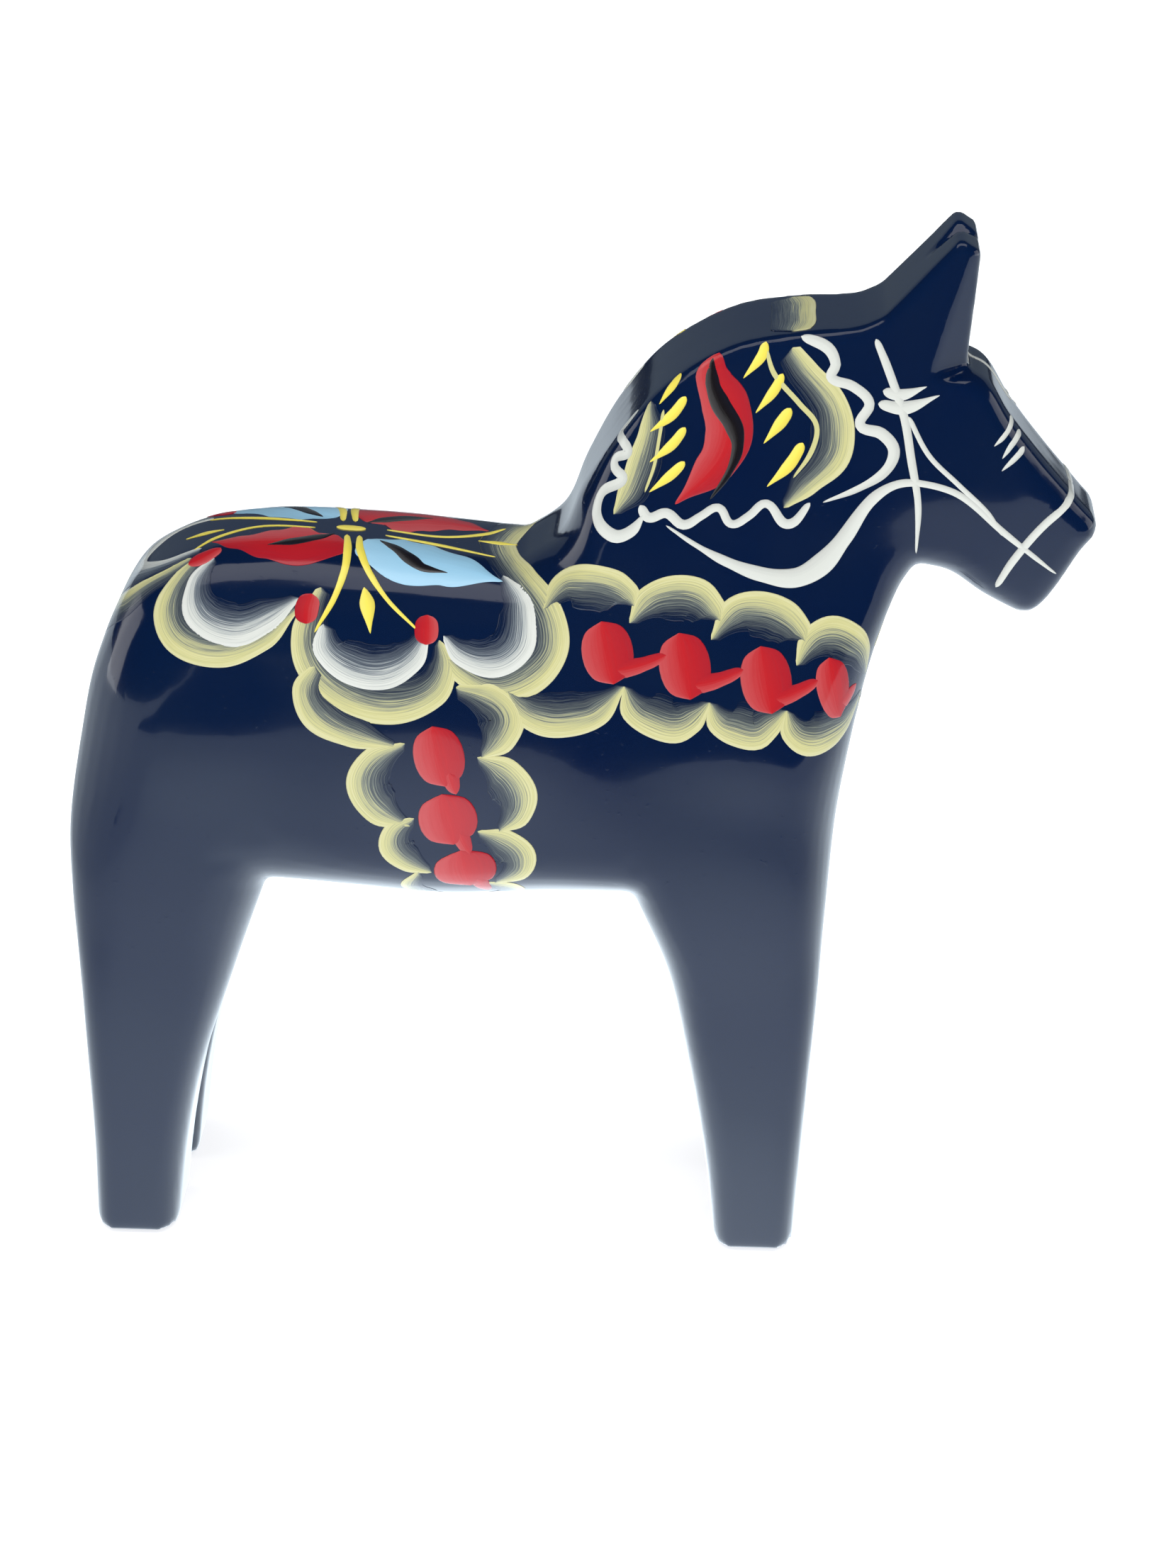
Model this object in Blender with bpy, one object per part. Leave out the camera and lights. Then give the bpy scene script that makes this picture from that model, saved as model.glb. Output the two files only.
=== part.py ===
"""A painted wooden horse, glued up from pine boards and carved to shape.

Metres, +Z up, +X towards the muzzle. The origin is on the ground under the middle of the horse.
Two side boards carry the legs. A thinner core board between them has none, which leaves the gap
between the left and right legs. Each board is edge-glued from staves whose grain runs up the legs,
the joints of the core are staggered against those of the sides, and a dowel ties every overlap.
"""
import bpy
import numpy as np
from mathutils import Vector
from mathutils.geometry import delaunay_2d_cdt

# Overall sizes.
LENGTH = 0.243
WIDTH = 0.072
LEG_HEIGHT = 0.0868
BODY_DEPTH = 0.0862
NECK_RISE = 0.0555
EAR_RISE = 0.0215

# Side view.
HEAD_REACH = 0.055
HEAD_DEPTH = 0.070
NECK_BASE = 0.080
EAR_SETBACK = 0.0300
EAR_BASE = 0.022
EAR_TIP = 0.0050
HEEL_INSET = 0.0045
HIND_FOOT = 0.0200
HIND_THIGH = 0.0435
TOE_INSET = 0.0115
FORE_FOOT = 0.0195
FORE_THIGH = 0.0410

# Across the horse.
FOOT_SPREAD = 0.069
HEAD_WIDTH = 0.031
MUZZLE_WIDTH = 0.026
CREST_WIDTH = 0.036
EAR_SPAN = 0.030
EAR_NOTCH_DEPTH = 0.0035
EAR_NOTCH_WIDTH = 0.0090
EAR_NOTCH_RUN = 0.0110
EAR_FACET_WIDTH = 0.0090
EAR_FACET_DEPTH = 0.0080

# The glue-up.
CORE_BOARD = 0.015
GLUE_GAP = 0.0003
SIDE_JOINTS = (-0.060, 0.005, 0.070)
CORE_JOINTS = (-0.033, 0.038)
DOWEL_DIAMETER = 0.008
DOWEL_FIT = 0.0003
DOWEL_COVER = 0.0045
LEG_INNER_ROUND = 0.003
BODY_LIP = 0.0030
HEAD_LIP = 0.0012
LEG_CORNER = 0.0080

# How finely the carved surface is cut into flat facets.
OUTLINE_STEP = 0.0065
SOLE_STEP = 0.0022
INNER_STEP = 0.012
ROUNDING_TURNS = (25.0, 55.0, 90.0)
BLEND_SOFTNESS = 0.020
DOWEL_SIDES = 20

RUMP = -LENGTH / 2
MUZZLE = LENGTH / 2
CHEST = MUZZLE - HEAD_REACH
WITHERS = CHEST - NECK_BASE
BACK = LEG_HEIGHT + BODY_DEPTH
CREST = BACK + NECK_RISE
EAR_TOP = CREST + EAR_RISE
CHIN = CREST - HEAD_DEPTH
HIND_HEEL = RUMP + HEEL_INSET
HIND_TOE = HIND_HEEL + HIND_FOOT
GROIN = HIND_HEEL + HIND_THIGH
FORE_TOE = CHEST - TOE_INSET
FORE_HEEL = FORE_TOE - FORE_FOOT
ELBOW = FORE_TOE - FORE_THIGH
EAR_FRONT = MUZZLE - EAR_SETBACK
CORE_HALF = CORE_BOARD / 2
SIDE_INNER = CORE_HALF + GLUE_GAP


def between(low, high, share):
    """The value that lies this share of the way from low to high."""
    return low + (high - low) * share


def leg_runs():
    """The side view's lower half, from the hind heel to the throat, as smooth runs of (x, z)."""
    groin_top = LEG_HEIGHT + 0.0050
    elbow_top = LEG_HEIGHT + 0.0040
    throat = (CHEST + 0.0130, CHIN + 0.0127)
    hind_sole = [(HIND_HEEL, 0.0), (HIND_TOE, 0.0)]
    hind_front = [
        (HIND_TOE, 0.0),
        (between(HIND_TOE, GROIN, 0.13), LEG_HEIGHT * 0.27),
        (between(HIND_TOE, GROIN, 0.31), LEG_HEIGHT * 0.50),
        (between(HIND_TOE, GROIN, 0.63), LEG_HEIGHT * 0.77),
        (GROIN, groin_top),
    ]
    belly = [
        (GROIN, groin_top),
        (between(GROIN, ELBOW, 0.24), LEG_HEIGHT + 0.0018),
        (between(GROIN, ELBOW, 0.50), LEG_HEIGHT),
        (between(GROIN, ELBOW, 0.79), LEG_HEIGHT + 0.0020),
        (ELBOW, elbow_top),
    ]
    fore_rear = [
        (ELBOW, elbow_top),
        (between(ELBOW, FORE_HEEL, 0.43), LEG_HEIGHT * 0.81),
        (between(ELBOW, FORE_HEEL, 0.68), LEG_HEIGHT * 0.54),
        (between(ELBOW, FORE_HEEL, 0.87), LEG_HEIGHT * 0.27),
        (FORE_HEEL, 0.0),
    ]
    fore_sole = [(FORE_HEEL, 0.0), (FORE_TOE, 0.0)]
    fore_front = [
        (FORE_TOE, 0.0),
        (between(FORE_TOE, CHEST, 0.16), LEG_HEIGHT * 0.34),
        (between(FORE_TOE, CHEST, 0.38), LEG_HEIGHT * 0.75),
        (between(FORE_TOE, CHEST, 0.62), between(LEG_HEIGHT, throat[1], 0.20)),
        (between(FORE_TOE, CHEST, 0.88), between(LEG_HEIGHT, throat[1], 0.44)),
        (between(CHEST, throat[0], 0.28), between(LEG_HEIGHT, throat[1], 0.73)),
        (between(CHEST, throat[0], 0.72), between(LEG_HEIGHT, throat[1], 0.93)),
        throat,
    ]
    return [hind_sole, hind_front, belly, fore_rear, fore_sole, fore_front]


def head_runs():
    """The throat, jaw, muzzle, nose and ears, as smooth runs of (x, z)."""
    throat = (CHEST + 0.0130, CHIN + 0.0127)
    chin = (MUZZLE - 0.0170, CHIN)
    nose_tip = (MUZZLE - 0.0040, CHIN + 0.0273)
    forehead = (EAR_FRONT - 0.0022, CREST - 0.0100)
    ear_edge = (EAR_FRONT, EAR_TOP - 0.0030)
    ear_point = (EAR_FRONT - EAR_TIP, EAR_TOP)
    poll = (EAR_FRONT - EAR_BASE, CREST + 0.0030)
    jaw = [throat, (between(throat[0], chin[0], 0.30), CHIN + 0.0108),
           (between(throat[0], chin[0], 0.62), CHIN + 0.0052), chin]
    muzzle = [chin, (MUZZLE - 0.0138, CHIN + 0.0010), (MUZZLE - 0.0098, CHIN + 0.0055),
              (MUZZLE - 0.0036, CHIN + 0.0160), (MUZZLE, CHIN + 0.0218), nose_tip]
    nose = [nose_tip, (between(nose_tip[0], forehead[0], 0.30), between(nose_tip[1], forehead[1], 0.30)),
            (between(nose_tip[0], forehead[0], 0.60), between(nose_tip[1], forehead[1], 0.63)),
            (between(nose_tip[0], forehead[0], 0.81), between(nose_tip[1], forehead[1], 0.91)), forehead]
    return [jaw, muzzle, nose, [forehead, ear_edge], [ear_edge, ear_point], [ear_point, poll]]


def back_runs():
    """The crest, the back of the neck, the back and the rump down to the heel, as runs of (x, z)."""
    poll = (EAR_FRONT - EAR_BASE, CREST + 0.0030)
    dip = (WITHERS, BACK - 0.0038)
    neck = [
        poll,
        (between(dip[0], poll[0], 0.93), CREST + 0.0005),
        (between(dip[0], poll[0], 0.78), between(dip[1], CREST, 0.99)),
        (between(dip[0], poll[0], 0.585), between(dip[1], CREST, 0.935)),
        (between(dip[0], poll[0], 0.395), between(dip[1], CREST, 0.77)),
        (between(dip[0], poll[0], 0.265), between(dip[1], CREST, 0.55)),
        (between(dip[0], poll[0], 0.175), between(dip[1], CREST, 0.33)),
        (between(dip[0], poll[0], 0.110), between(dip[1], CREST, 0.12)),
        dip,
    ]
    back = [
        dip,
        (between(dip[0], RUMP, 0.24), BACK - 0.0014),
        (between(dip[0], RUMP, 0.48), BACK),
        (between(dip[0], RUMP, 0.66), BACK - 0.0014),
        (between(dip[0], RUMP, 0.77), BACK - 0.0052),
        (between(dip[0], RUMP, 0.860), between(LEG_HEIGHT, BACK, 0.86)),
        (between(dip[0], RUMP, 0.938), between(LEG_HEIGHT, BACK, 0.65)),
        (between(dip[0], RUMP, 0.975), between(LEG_HEIGHT, BACK, 0.45)),
        (RUMP, between(LEG_HEIGHT, BACK, 0.22)),
        (RUMP + HEEL_INSET * 0.15, LEG_HEIGHT),
        (RUMP + HEEL_INSET * 0.55, LEG_HEIGHT * 0.72),
        (RUMP + HEEL_INSET * 0.9, LEG_HEIGHT * 0.30),
        (HIND_HEEL, 0.0),
    ]
    return [neck, back]


def core_bottom_run():
    """The core board's lower edge, which continues the belly across the legs, from rear to front."""
    return [
        (RUMP - 0.0100, LEG_HEIGHT + 0.0240),
        (RUMP + 0.0100, LEG_HEIGHT + 0.0100),
        (GROIN, LEG_HEIGHT + 0.0050),
        (between(GROIN, ELBOW, 0.50), LEG_HEIGHT),
        (ELBOW, LEG_HEIGHT + 0.0040),
        (FORE_TOE - 0.0020, LEG_HEIGHT + 0.0090),
        (CHEST + 0.0100, LEG_HEIGHT + 0.0240),
    ]


def smooth_run(points, step):
    """Points at about this step along a curve through the given points, without the last one."""
    knots = [Vector(point) for point in points]
    padded = [2 * knots[0] - knots[1]] + knots + [2 * knots[-1] - knots[-2]]
    samples = []
    for before, start, end, after in zip(padded, padded[1:], padded[2:], padded[3:]):
        count = max(1, round((end - start).length / step))
        for index in range(count):
            samples.append(curve_point(before, start, end, after, index / count))
    return samples


def curve_point(before, start, end, after, share):
    """A point on a smooth curve from start to end whose direction also heeds its neighbours."""
    reach = (end - start).length
    leave = (end - before).normalized() * reach
    arrive = (after - start).normalized() * reach
    s2 = share * share
    s3 = s2 * share
    return (start * (2 * s3 - 3 * s2 + 1) + leave * (s3 - 2 * s2 + share)
            + end * (3 * s2 - 2 * s3) + arrive * (s3 - s2))


def is_sole(run):
    """Whether a run lies flat on the ground."""
    return all(z == 0.0 for _, z in run)


def side_outline(step):
    """The horse's whole side view as a closed, anticlockwise list of (x, z)."""
    samples = []
    for run in leg_runs() + head_runs() + back_runs():
        samples += smooth_run(run, SOLE_STEP if is_sole(run) else step)
    return np.array([tuple(point) for point in samples])


def landmarks():
    """Places on the side view with the half width, the flat rim's half width and the rounding there."""
    half = WIDTH / 2
    head = HEAD_WIDTH / 2
    muzzle = MUZZLE_WIDTH / 2
    crest = CREST_WIDTH / 2
    ear = EAR_SPAN / 2
    foot = FOOT_SPREAD / 2
    middle = between(LEG_HEIGHT, BACK, 0.5)
    body_rim = SIDE_INNER + BODY_LIP
    head_rim = SIDE_INNER + HEAD_LIP
    leg_rim = foot - LEG_CORNER
    return np.array([
        # x, z, half width, rim half width, rounding
        (RUMP, middle, half - 0.0055, body_rim, 0.0220),
        (RUMP + 0.022, BACK - 0.008, half - 0.0055, body_rim, 0.0210),
        (between(RUMP, WITHERS, 0.45), BACK, half - 0.0020, body_rim, 0.0210),
        (WITHERS - 0.010, BACK, half - 0.0030, body_rim, 0.0170),
        (between(GROIN, ELBOW, 0.5), middle, half, body_rim, 0.0140),
        (between(GROIN, ELBOW, 0.5), LEG_HEIGHT, half - 0.0010, body_rim, 0.0140),
        (between(RUMP, GROIN, 0.55), middle, half - 0.0005, body_rim, 0.0180),
        (between(ELBOW, CHEST, 0.55), middle, half, body_rim, 0.0140),
        (WITHERS + 0.010, BACK + 0.010, half - 0.0060, body_rim, 0.0110),
        (WITHERS + 0.022, BACK + 0.034, half - 0.0110, crest + 0.0030, 0.0060),
        (between(WITHERS, EAR_FRONT, 0.5), CREST, crest + 0.0015, crest - 0.0010, 0.0025),
        (EAR_FRONT - EAR_BASE, CREST, crest - 0.0010, crest - 0.0025, 0.0020),
        (EAR_FRONT - EAR_TIP, EAR_TOP, ear, ear - 0.0012, 0.0014),
        (EAR_FRONT, CREST - 0.010, head + 0.0010, head_rim + 0.0015, 0.0035),
        (between(EAR_FRONT, MUZZLE, 0.45), CREST - 0.030, head + 0.0010, head_rim, 0.0050),
        (MUZZLE - 0.008, CHIN + 0.038, muzzle + 0.0020, head_rim, 0.0035),
        (MUZZLE, CHIN + 0.018, muzzle - 0.0005, head_rim - 0.0005, 0.0035),
        (MUZZLE - 0.017, CHIN, muzzle - 0.0025, head_rim - 0.0005, 0.0040),
        (EAR_FRONT - 0.010, CREST - 0.034, head + 0.0050, head_rim, 0.0060),
        (EAR_FRONT - 0.002, CHIN + 0.010, head + 0.0005, head_rim, 0.0050),
        (CHEST + 0.013, CHIN + 0.0127, head + 0.0035, body_rim, 0.0060),
        (between(WITHERS, CHEST, 0.7), CREST - 0.045, half - 0.0120, body_rim, 0.0080),
        (CHEST + 0.003, between(LEG_HEIGHT, CHIN, 0.8), half - 0.0080, body_rim, 0.0130),
        (CHEST, between(LEG_HEIGHT, CHIN, 0.4), half - 0.0030, body_rim, 0.0130),
        (between(ELBOW, CHEST, 0.5), LEG_HEIGHT + 0.010, half, leg_rim, 0.0080),
        (FORE_TOE, LEG_HEIGHT * 0.5, foot, leg_rim, 0.0060),
        (FORE_HEEL, LEG_HEIGHT * 0.5, foot, leg_rim, 0.0060),
        (between(FORE_HEEL, FORE_TOE, 0.5), 0.0, foot - 0.0005, leg_rim, 0.0050),
        (between(RUMP, GROIN, 0.5), LEG_HEIGHT + 0.010, half - 0.0018, leg_rim, 0.0140),
        (HIND_TOE, LEG_HEIGHT * 0.5, foot, leg_rim, 0.0060),
        (HIND_HEEL, LEG_HEIGHT * 0.5, foot, leg_rim, 0.0070),
        (between(HIND_HEEL, HIND_TOE, 0.5), 0.0, foot - 0.0005, leg_rim, 0.0050),
    ])


def shape_at(points):
    """Half width, rim half width and rounding at each (x, z), blended smoothly from the landmarks."""
    marks = landmarks()
    offsets = points[:, None, :] - marks[None, :, :2]
    weights = ((offsets ** 2).sum(axis=2) + BLEND_SOFTNESS ** 2) ** -2
    weights /= weights.sum(axis=1, keepdims=True)
    half_width, rim, rounding = (weights @ marks[:, 2:]).T
    return half_width, rim, rounding


def distance_to_outline(points, outline):
    """How far each (x, z) lies from the nearest edge of the outline that isn't a foot's sole."""
    ends = np.roll(outline, -1, axis=0)
    carved = (outline[:, 1] != 0.0) | (ends[:, 1] != 0.0)
    starts = outline[carved]
    edges = ends[carved] - starts
    offsets = points[:, None, :] - starts[None, :, :]
    shares = (offsets * edges).sum(axis=2) / (edges ** 2).sum(axis=1)
    nearest = offsets - np.clip(shares, 0.0, 1.0)[:, :, None] * edges
    return np.sqrt((nearest ** 2).sum(axis=2)).min(axis=1)


def is_inside(points, outline):
    """Whether each (x, z) lies inside the outline."""
    ends = np.roll(outline, -1, axis=0)
    x = points[:, 0, None]
    z = points[:, 1, None]
    straddles = (outline[:, 1] > z) != (ends[:, 1] > z)
    rise = np.where(ends[:, 1] == outline[:, 1], 1.0, ends[:, 1] - outline[:, 1])
    crossing = outline[:, 0] + (z - outline[:, 1]) * (ends[:, 0] - outline[:, 0]) / rise
    return (straddles & (x < crossing)).sum(axis=1) % 2 == 1


def inward_directions(outline):
    """A unit vector at each outline point that points into the horse."""
    along = np.roll(outline, -1, axis=0) - np.roll(outline, 1, axis=0)
    inward = np.stack([-along[:, 1], along[:, 0]], axis=1)
    return inward / np.linalg.norm(inward, axis=1, keepdims=True)


def rounding_rings(outline):
    """Points at set turns of the rounding that runs in from the outline."""
    inward = inward_directions(outline)
    rounding = shape_at(outline)[2]
    rings = []
    for turn in ROUNDING_TURNS:
        depth = rounding * (1.0 - np.cos(np.radians(turn)))
        ring = outline + inward * depth[:, None]
        rings.append(ring[distance_to_outline(ring, outline) > depth * 0.97])
    return np.vstack(rings)


def inner_grid(outline):
    """Evenly spread points on the flat of the side, clear of the rounding."""
    low = outline.min(axis=0)
    high = outline.max(axis=0)
    rows = np.arange(low[1], high[1], INNER_STEP * 0.87)
    grid = []
    for row, z in enumerate(rows):
        shift = INNER_STEP / 2 * (row % 2)
        for x in np.arange(low[0] + shift, high[0], INNER_STEP):
            grid.append((x, z))
    grid = np.array(grid)
    clear = distance_to_outline(grid, outline) > shape_at(grid)[2] + INNER_STEP * 0.45
    off_the_sole = grid[:, 1] > low[1]
    return grid[clear & off_the_sole & is_inside(grid, outline)]


def rounded(share):
    """The rise of a quarter round after this share of its run."""
    left = 1.0 - np.clip(share, 0.0, 1.0)
    return np.sqrt(1.0 - left * left)


def outer_height(points, outline):
    """How far out the carved surface stands at each (x, z)."""
    half_width, rim, rounding = shape_at(points)
    rise = rounded(distance_to_outline(points, outline) / rounding)
    return rim + (half_width - rim) * rise


def inner_height(points, outline):
    """The side board's inner face: flat against the core, with rounded edges on the bare legs."""
    rise = rounded(distance_to_outline(points, outline) / LEG_INNER_ROUND)
    bare = np.clip((LEG_HEIGHT - points[:, 1]) / LEG_INNER_ROUND, 0.0, 1.0)
    return SIDE_INNER + LEG_INNER_ROUND * (1.0 - rise) * bare


def triangulate(outline, loose_points):
    """Triangles over the inside of the outline, through its points and the loose ones."""
    points = [Vector(point) for point in np.vstack([outline, loose_points])]
    ring = list(range(len(outline)))
    vertices, _, faces, origins, _, _ = delaunay_2d_cdt(points, [], [ring], 1, 1e-6)
    rim = [0] * len(ring)
    for index, sources in enumerate(origins):
        for source in sources:
            if source < len(ring):
                rim[source] = index
    return np.array([tuple(vertex) for vertex in vertices]), faces, rim


def solid_between(name, near, far, faces, rim):
    """A closed mesh from two matching sheets of points, joined round their rim."""
    count = len(near)
    shell = [tuple(reversed(face)) for face in faces]
    shell += [tuple(index + count for index in face) for face in faces]
    for index, following in zip(rim, rim[1:] + rim[:1]):
        shell.append((index, following, following + count, index + count))
    mesh = bpy.data.meshes.new(name)
    mesh.from_pydata([tuple(point) for point in np.vstack([near, far])], [], shell)
    return mesh


def side_board_mesh(side):
    """The whole carved side board, with its legs, before it is parted into staves."""
    outline = side_outline(OUTLINE_STEP)
    loose = np.vstack([rounding_rings(outline), inner_grid(outline)])
    flat, faces, rim = triangulate(outline, loose)
    inner = np.stack([flat[:, 0], side * inner_height(flat, outline), flat[:, 1]], axis=1)
    outer = np.stack([flat[:, 0], side * outer_height(flat, outline), flat[:, 1]], axis=1)
    if side > 0:
        return solid_between("side_board", inner, outer, [face[::-1] for face in faces], rim[::-1])
    return solid_between("side_board", inner, outer, faces, rim)


def core_board_mesh():
    """The whole core board, still with legs that the leg gap takes away."""
    outline = side_outline(OUTLINE_STEP)
    flat, faces, rim = triangulate(outline, np.empty((0, 2)))
    far = np.stack([flat[:, 0], np.full(len(flat), CORE_HALF), flat[:, 1]], axis=1)
    near = far * (1.0, -1.0, 1.0)
    return solid_between("core_board", far, near, faces, rim)


def painted_wood():
    """Glossy navy paint on wood."""
    material = bpy.data.materials.new("navy_paint")
    material.use_nodes = True
    shader = material.node_tree.nodes["Principled BSDF"]
    shader.inputs["Base Color"].default_value = (0.004, 0.011, 0.045, 1.0)
    shader.inputs["Roughness"].default_value = 0.15
    shader.inputs["Metallic"].default_value = 0.0
    return material


def bare_wood():
    """Unpainted beech, for the hidden dowels."""
    material = bpy.data.materials.new("beech")
    material.use_nodes = True
    shader = material.node_tree.nodes["Principled BSDF"]
    shader.inputs["Base Color"].default_value = (0.55, 0.36, 0.20, 1.0)
    shader.inputs["Roughness"].default_value = 0.60
    shader.inputs["Metallic"].default_value = 0.0
    return material


def add_object(name, mesh, material=None):
    """An object with this mesh at the origin."""
    thing = bpy.data.objects.new(name, mesh)
    bpy.context.scene.collection.objects.link(thing)
    if material is not None:
        thing.data.materials.append(material)
    return thing


def as_cutter(thing):
    """Marks an object as a tool that shapes others and isn't part of the horse."""
    thing.hide_render = True
    thing.display_type = "WIRE"
    return thing


def prism_mesh(name, profile, half_depth):
    """A closed prism with an (x, z) profile, anticlockwise, that runs from -half_depth to +half_depth in Y."""
    flat, faces, rim = triangulate(np.array(profile), np.empty((0, 2)))
    far = np.stack([flat[:, 0], np.full(len(flat), half_depth), flat[:, 1]], axis=1)
    return solid_between(name, far, far * (1.0, -1.0, 1.0), faces, rim)


def stave_block(name, start, end):
    """A block that takes one stave's share of a board, less half a glue line at each end."""
    low = start + GLUE_GAP / 2
    high = end - GLUE_GAP / 2
    bottom = -LEG_HEIGHT
    top = EAR_TOP + LEG_HEIGHT
    profile = [(low, bottom), (high, bottom), (high, top), (low, top)]
    return as_cutter(add_object(name, prism_mesh(name, profile, WIDTH)))


def leg_gap_cutter():
    """The space under the core board, up to the belly line."""
    belly = [tuple(point) for point in smooth_run(core_bottom_run(), OUTLINE_STEP)]
    belly.append(core_bottom_run()[-1])
    front = MUZZLE + NECK_BASE
    rear = RUMP - NECK_BASE
    profile = [(rear, -LEG_HEIGHT), (front, -LEG_HEIGHT), (front, belly[-1][1])]
    profile += belly[::-1] + [(rear, belly[0][1])]
    return as_cutter(add_object("leg_gap_cutter", prism_mesh("leg_gap_cutter", profile, WIDTH)))


def box_cutter(name, corner, spans):
    """A slanted box from one corner along three directions, which needn't be square to each other."""
    along, across, up = (Vector(span) for span in spans)
    points = []
    for height in (0.0, 1.0):
        for side, forward in ((0.0, 0.0), (0.0, 1.0), (1.0, 1.0), (1.0, 0.0)):
            points.append(Vector(corner) + along * forward + across * side + up * height)
    faces = [(3, 2, 1, 0), (4, 5, 6, 7), (0, 1, 5, 4), (1, 2, 6, 5), (2, 3, 7, 6), (3, 0, 4, 7)]
    if along.cross(across).dot(up) < 0.0:
        faces = [face[::-1] for face in faces]
    mesh = bpy.data.meshes.new(name)
    mesh.from_pydata([tuple(point) for point in points], [], faces)
    return as_cutter(add_object(name, mesh))


def ear_notch_cutter():
    """A wedge down the back of the ears that parts their tips and runs out before the poll."""
    front = Vector((EAR_FRONT + EAR_TIP, 0.0, EAR_TOP - EAR_NOTCH_DEPTH))
    tip = Vector((EAR_FRONT - EAR_TIP, 0.0, EAR_TOP))
    down_the_back = Vector((EAR_FRONT - EAR_BASE, 0.0, CREST + 0.0030)) - tip
    run_out = tip + down_the_back.normalized() * EAR_NOTCH_RUN
    tip.z -= EAR_NOTCH_DEPTH
    past_run_out = tip + (run_out - tip) * 2.0
    half = EAR_NOTCH_WIDTH / 2 / EAR_NOTCH_DEPTH * EAR_RISE
    points = []
    for keel in (front, tip, past_run_out):
        points += [keel, keel + Vector((0.0, half, EAR_RISE)), keel + Vector((0.0, -half, EAR_RISE))]
    faces = [(0, 1, 2), (8, 7, 6)]
    for first in (0, 3):
        for side, following in ((0, 1), (1, 2), (2, 0)):
            faces.append((first + side, first + side + 3, first + following + 3, first + following))
    mesh = bpy.data.meshes.new("ear_notch_cutter")
    mesh.from_pydata([tuple(point) for point in points], [], faces)
    return as_cutter(add_object("ear_notch_cutter", mesh))


def ear_facet_cutter(name, side):
    """A slanted block that planes the outer front edge of an ear down to a ledge at the forehead."""
    ear = EAR_SPAN / 2
    base_rear = Vector((EAR_FRONT - 0.002 - EAR_FACET_WIDTH, side * (ear + 0.0020), CREST - 0.0115))
    base_front = Vector((EAR_FRONT - 0.002, side * (ear + 0.0020 - EAR_FACET_DEPTH), CREST - 0.0100))
    tip = Vector((EAR_FRONT - 0.0015, side * (ear - 0.0005), EAR_TOP - 0.0030))
    along = (base_front - base_rear) * 3.0
    up = (tip - base_rear) * 1.5
    out = along.cross(up).normalized() * (-side * WIDTH)
    return box_cutter(name, base_rear - along / 3.0, (along, out, up))


def rod_mesh(name, x, z, radius, half_length):
    """A round rod along Y."""
    turns = np.linspace(0.0, 2 * np.pi, DOWEL_SIDES, endpoint=False)
    profile = np.stack([x + radius * np.cos(turns), z + radius * np.sin(turns)], axis=1)
    far = np.stack([profile[:, 0], np.full(DOWEL_SIDES, half_length), profile[:, 1]], axis=1)
    ring = list(range(DOWEL_SIDES))
    return solid_between(name, far, far * (1.0, -1.0, 1.0), [ring], ring)


def dowel_places():
    """Each dowel's name, x, z and half length: one where a side stave overlaps a core stave."""
    sides = (RUMP,) + SIDE_JOINTS + (MUZZLE,)
    cores = (RUMP,) + CORE_JOINTS + (MUZZLE,)
    body = between(LEG_HEIGHT, BACK, 0.55)
    neck = between(BACK, CREST, 0.20)
    head = CREST - 0.032
    names = iter((("rump_dowel", body), ("loin_dowel", body), ("barrel_dowel", body),
                  ("shoulder_dowel", body), ("neck_dowel", neck), ("head_dowel", head)))
    places = []
    for start, end in zip(sides, sides[1:]):
        for core_start, core_end in zip(cores, cores[1:]):
            low = max(start, core_start)
            high = min(end, core_end)
            if high > low:
                name, z = next(names)
                x = (low + high) / 2
                half_width = shape_at(np.array([(x, z)]))[0][0]
                places.append((name, x, z, half_width - DOWEL_COVER))
    return places


def add_dowels(material):
    """The dowels, and a hole cutter for each."""
    holes = []
    for name, x, z, half_length in dowel_places():
        radius = DOWEL_DIAMETER / 2
        rod = rod_mesh(name, x, z, radius, half_length)
        rod.shade_smooth()
        rod.set_sharp_from_angle(angle=np.radians(40.0))
        add_object(name, rod, material)
        hole_name = name + "_hole"
        hole = rod_mesh(hole_name, x, z, radius + DOWEL_FIT, half_length + DOWEL_FIT)
        holes.append((x, as_cutter(add_object(hole_name, hole))))
    return holes


def add_boolean(thing, operation, cutter):
    """Shapes an object with another."""
    modifier = thing.modifiers.new(cutter.name, "BOOLEAN")
    modifier.operation = operation
    modifier.object = cutter
    modifier.solver = "EXACT"


def add_staves(names, mesh, joints, cutters, holes, material):
    """Parts a board at its joints, then cuts what passes through each stave."""
    edges = (RUMP - WIDTH,) + joints + (MUZZLE + WIDTH,)
    for name, start, end in zip(names, edges, edges[1:]):
        stave = add_object(name, mesh.copy(), material)
        add_boolean(stave, "INTERSECT", stave_block(name + "_block", start, end))
        for cutter in cutters:
            add_boolean(stave, "DIFFERENCE", cutter)
        for x, hole in holes:
            if start < x < end:
                add_boolean(stave, "DIFFERENCE", hole)


def main():
    """Builds the horse in an empty scene."""
    for thing in list(bpy.data.objects):
        bpy.data.objects.remove(thing)
    navy = painted_wood()
    holes = add_dowels(bare_wood())
    notch = ear_notch_cutter()
    leg_gap = leg_gap_cutter()
    for side, hand in ((-1.0, "right"), (1.0, "left")):
        names = [hand + end for end in ("_hind_leg_stave", "_barrel_stave", "_fore_leg_stave", "_head_stave")]
        facet = ear_facet_cutter(hand + "_ear_facet_cutter", side)
        add_staves(names, side_board_mesh(side), SIDE_JOINTS, (notch, facet), holes, navy)
    core_names = ("core_rump_stave", "core_barrel_stave", "core_neck_stave")
    add_staves(core_names, core_board_mesh(), CORE_JOINTS, (leg_gap, notch), holes, navy)


main()
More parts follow.
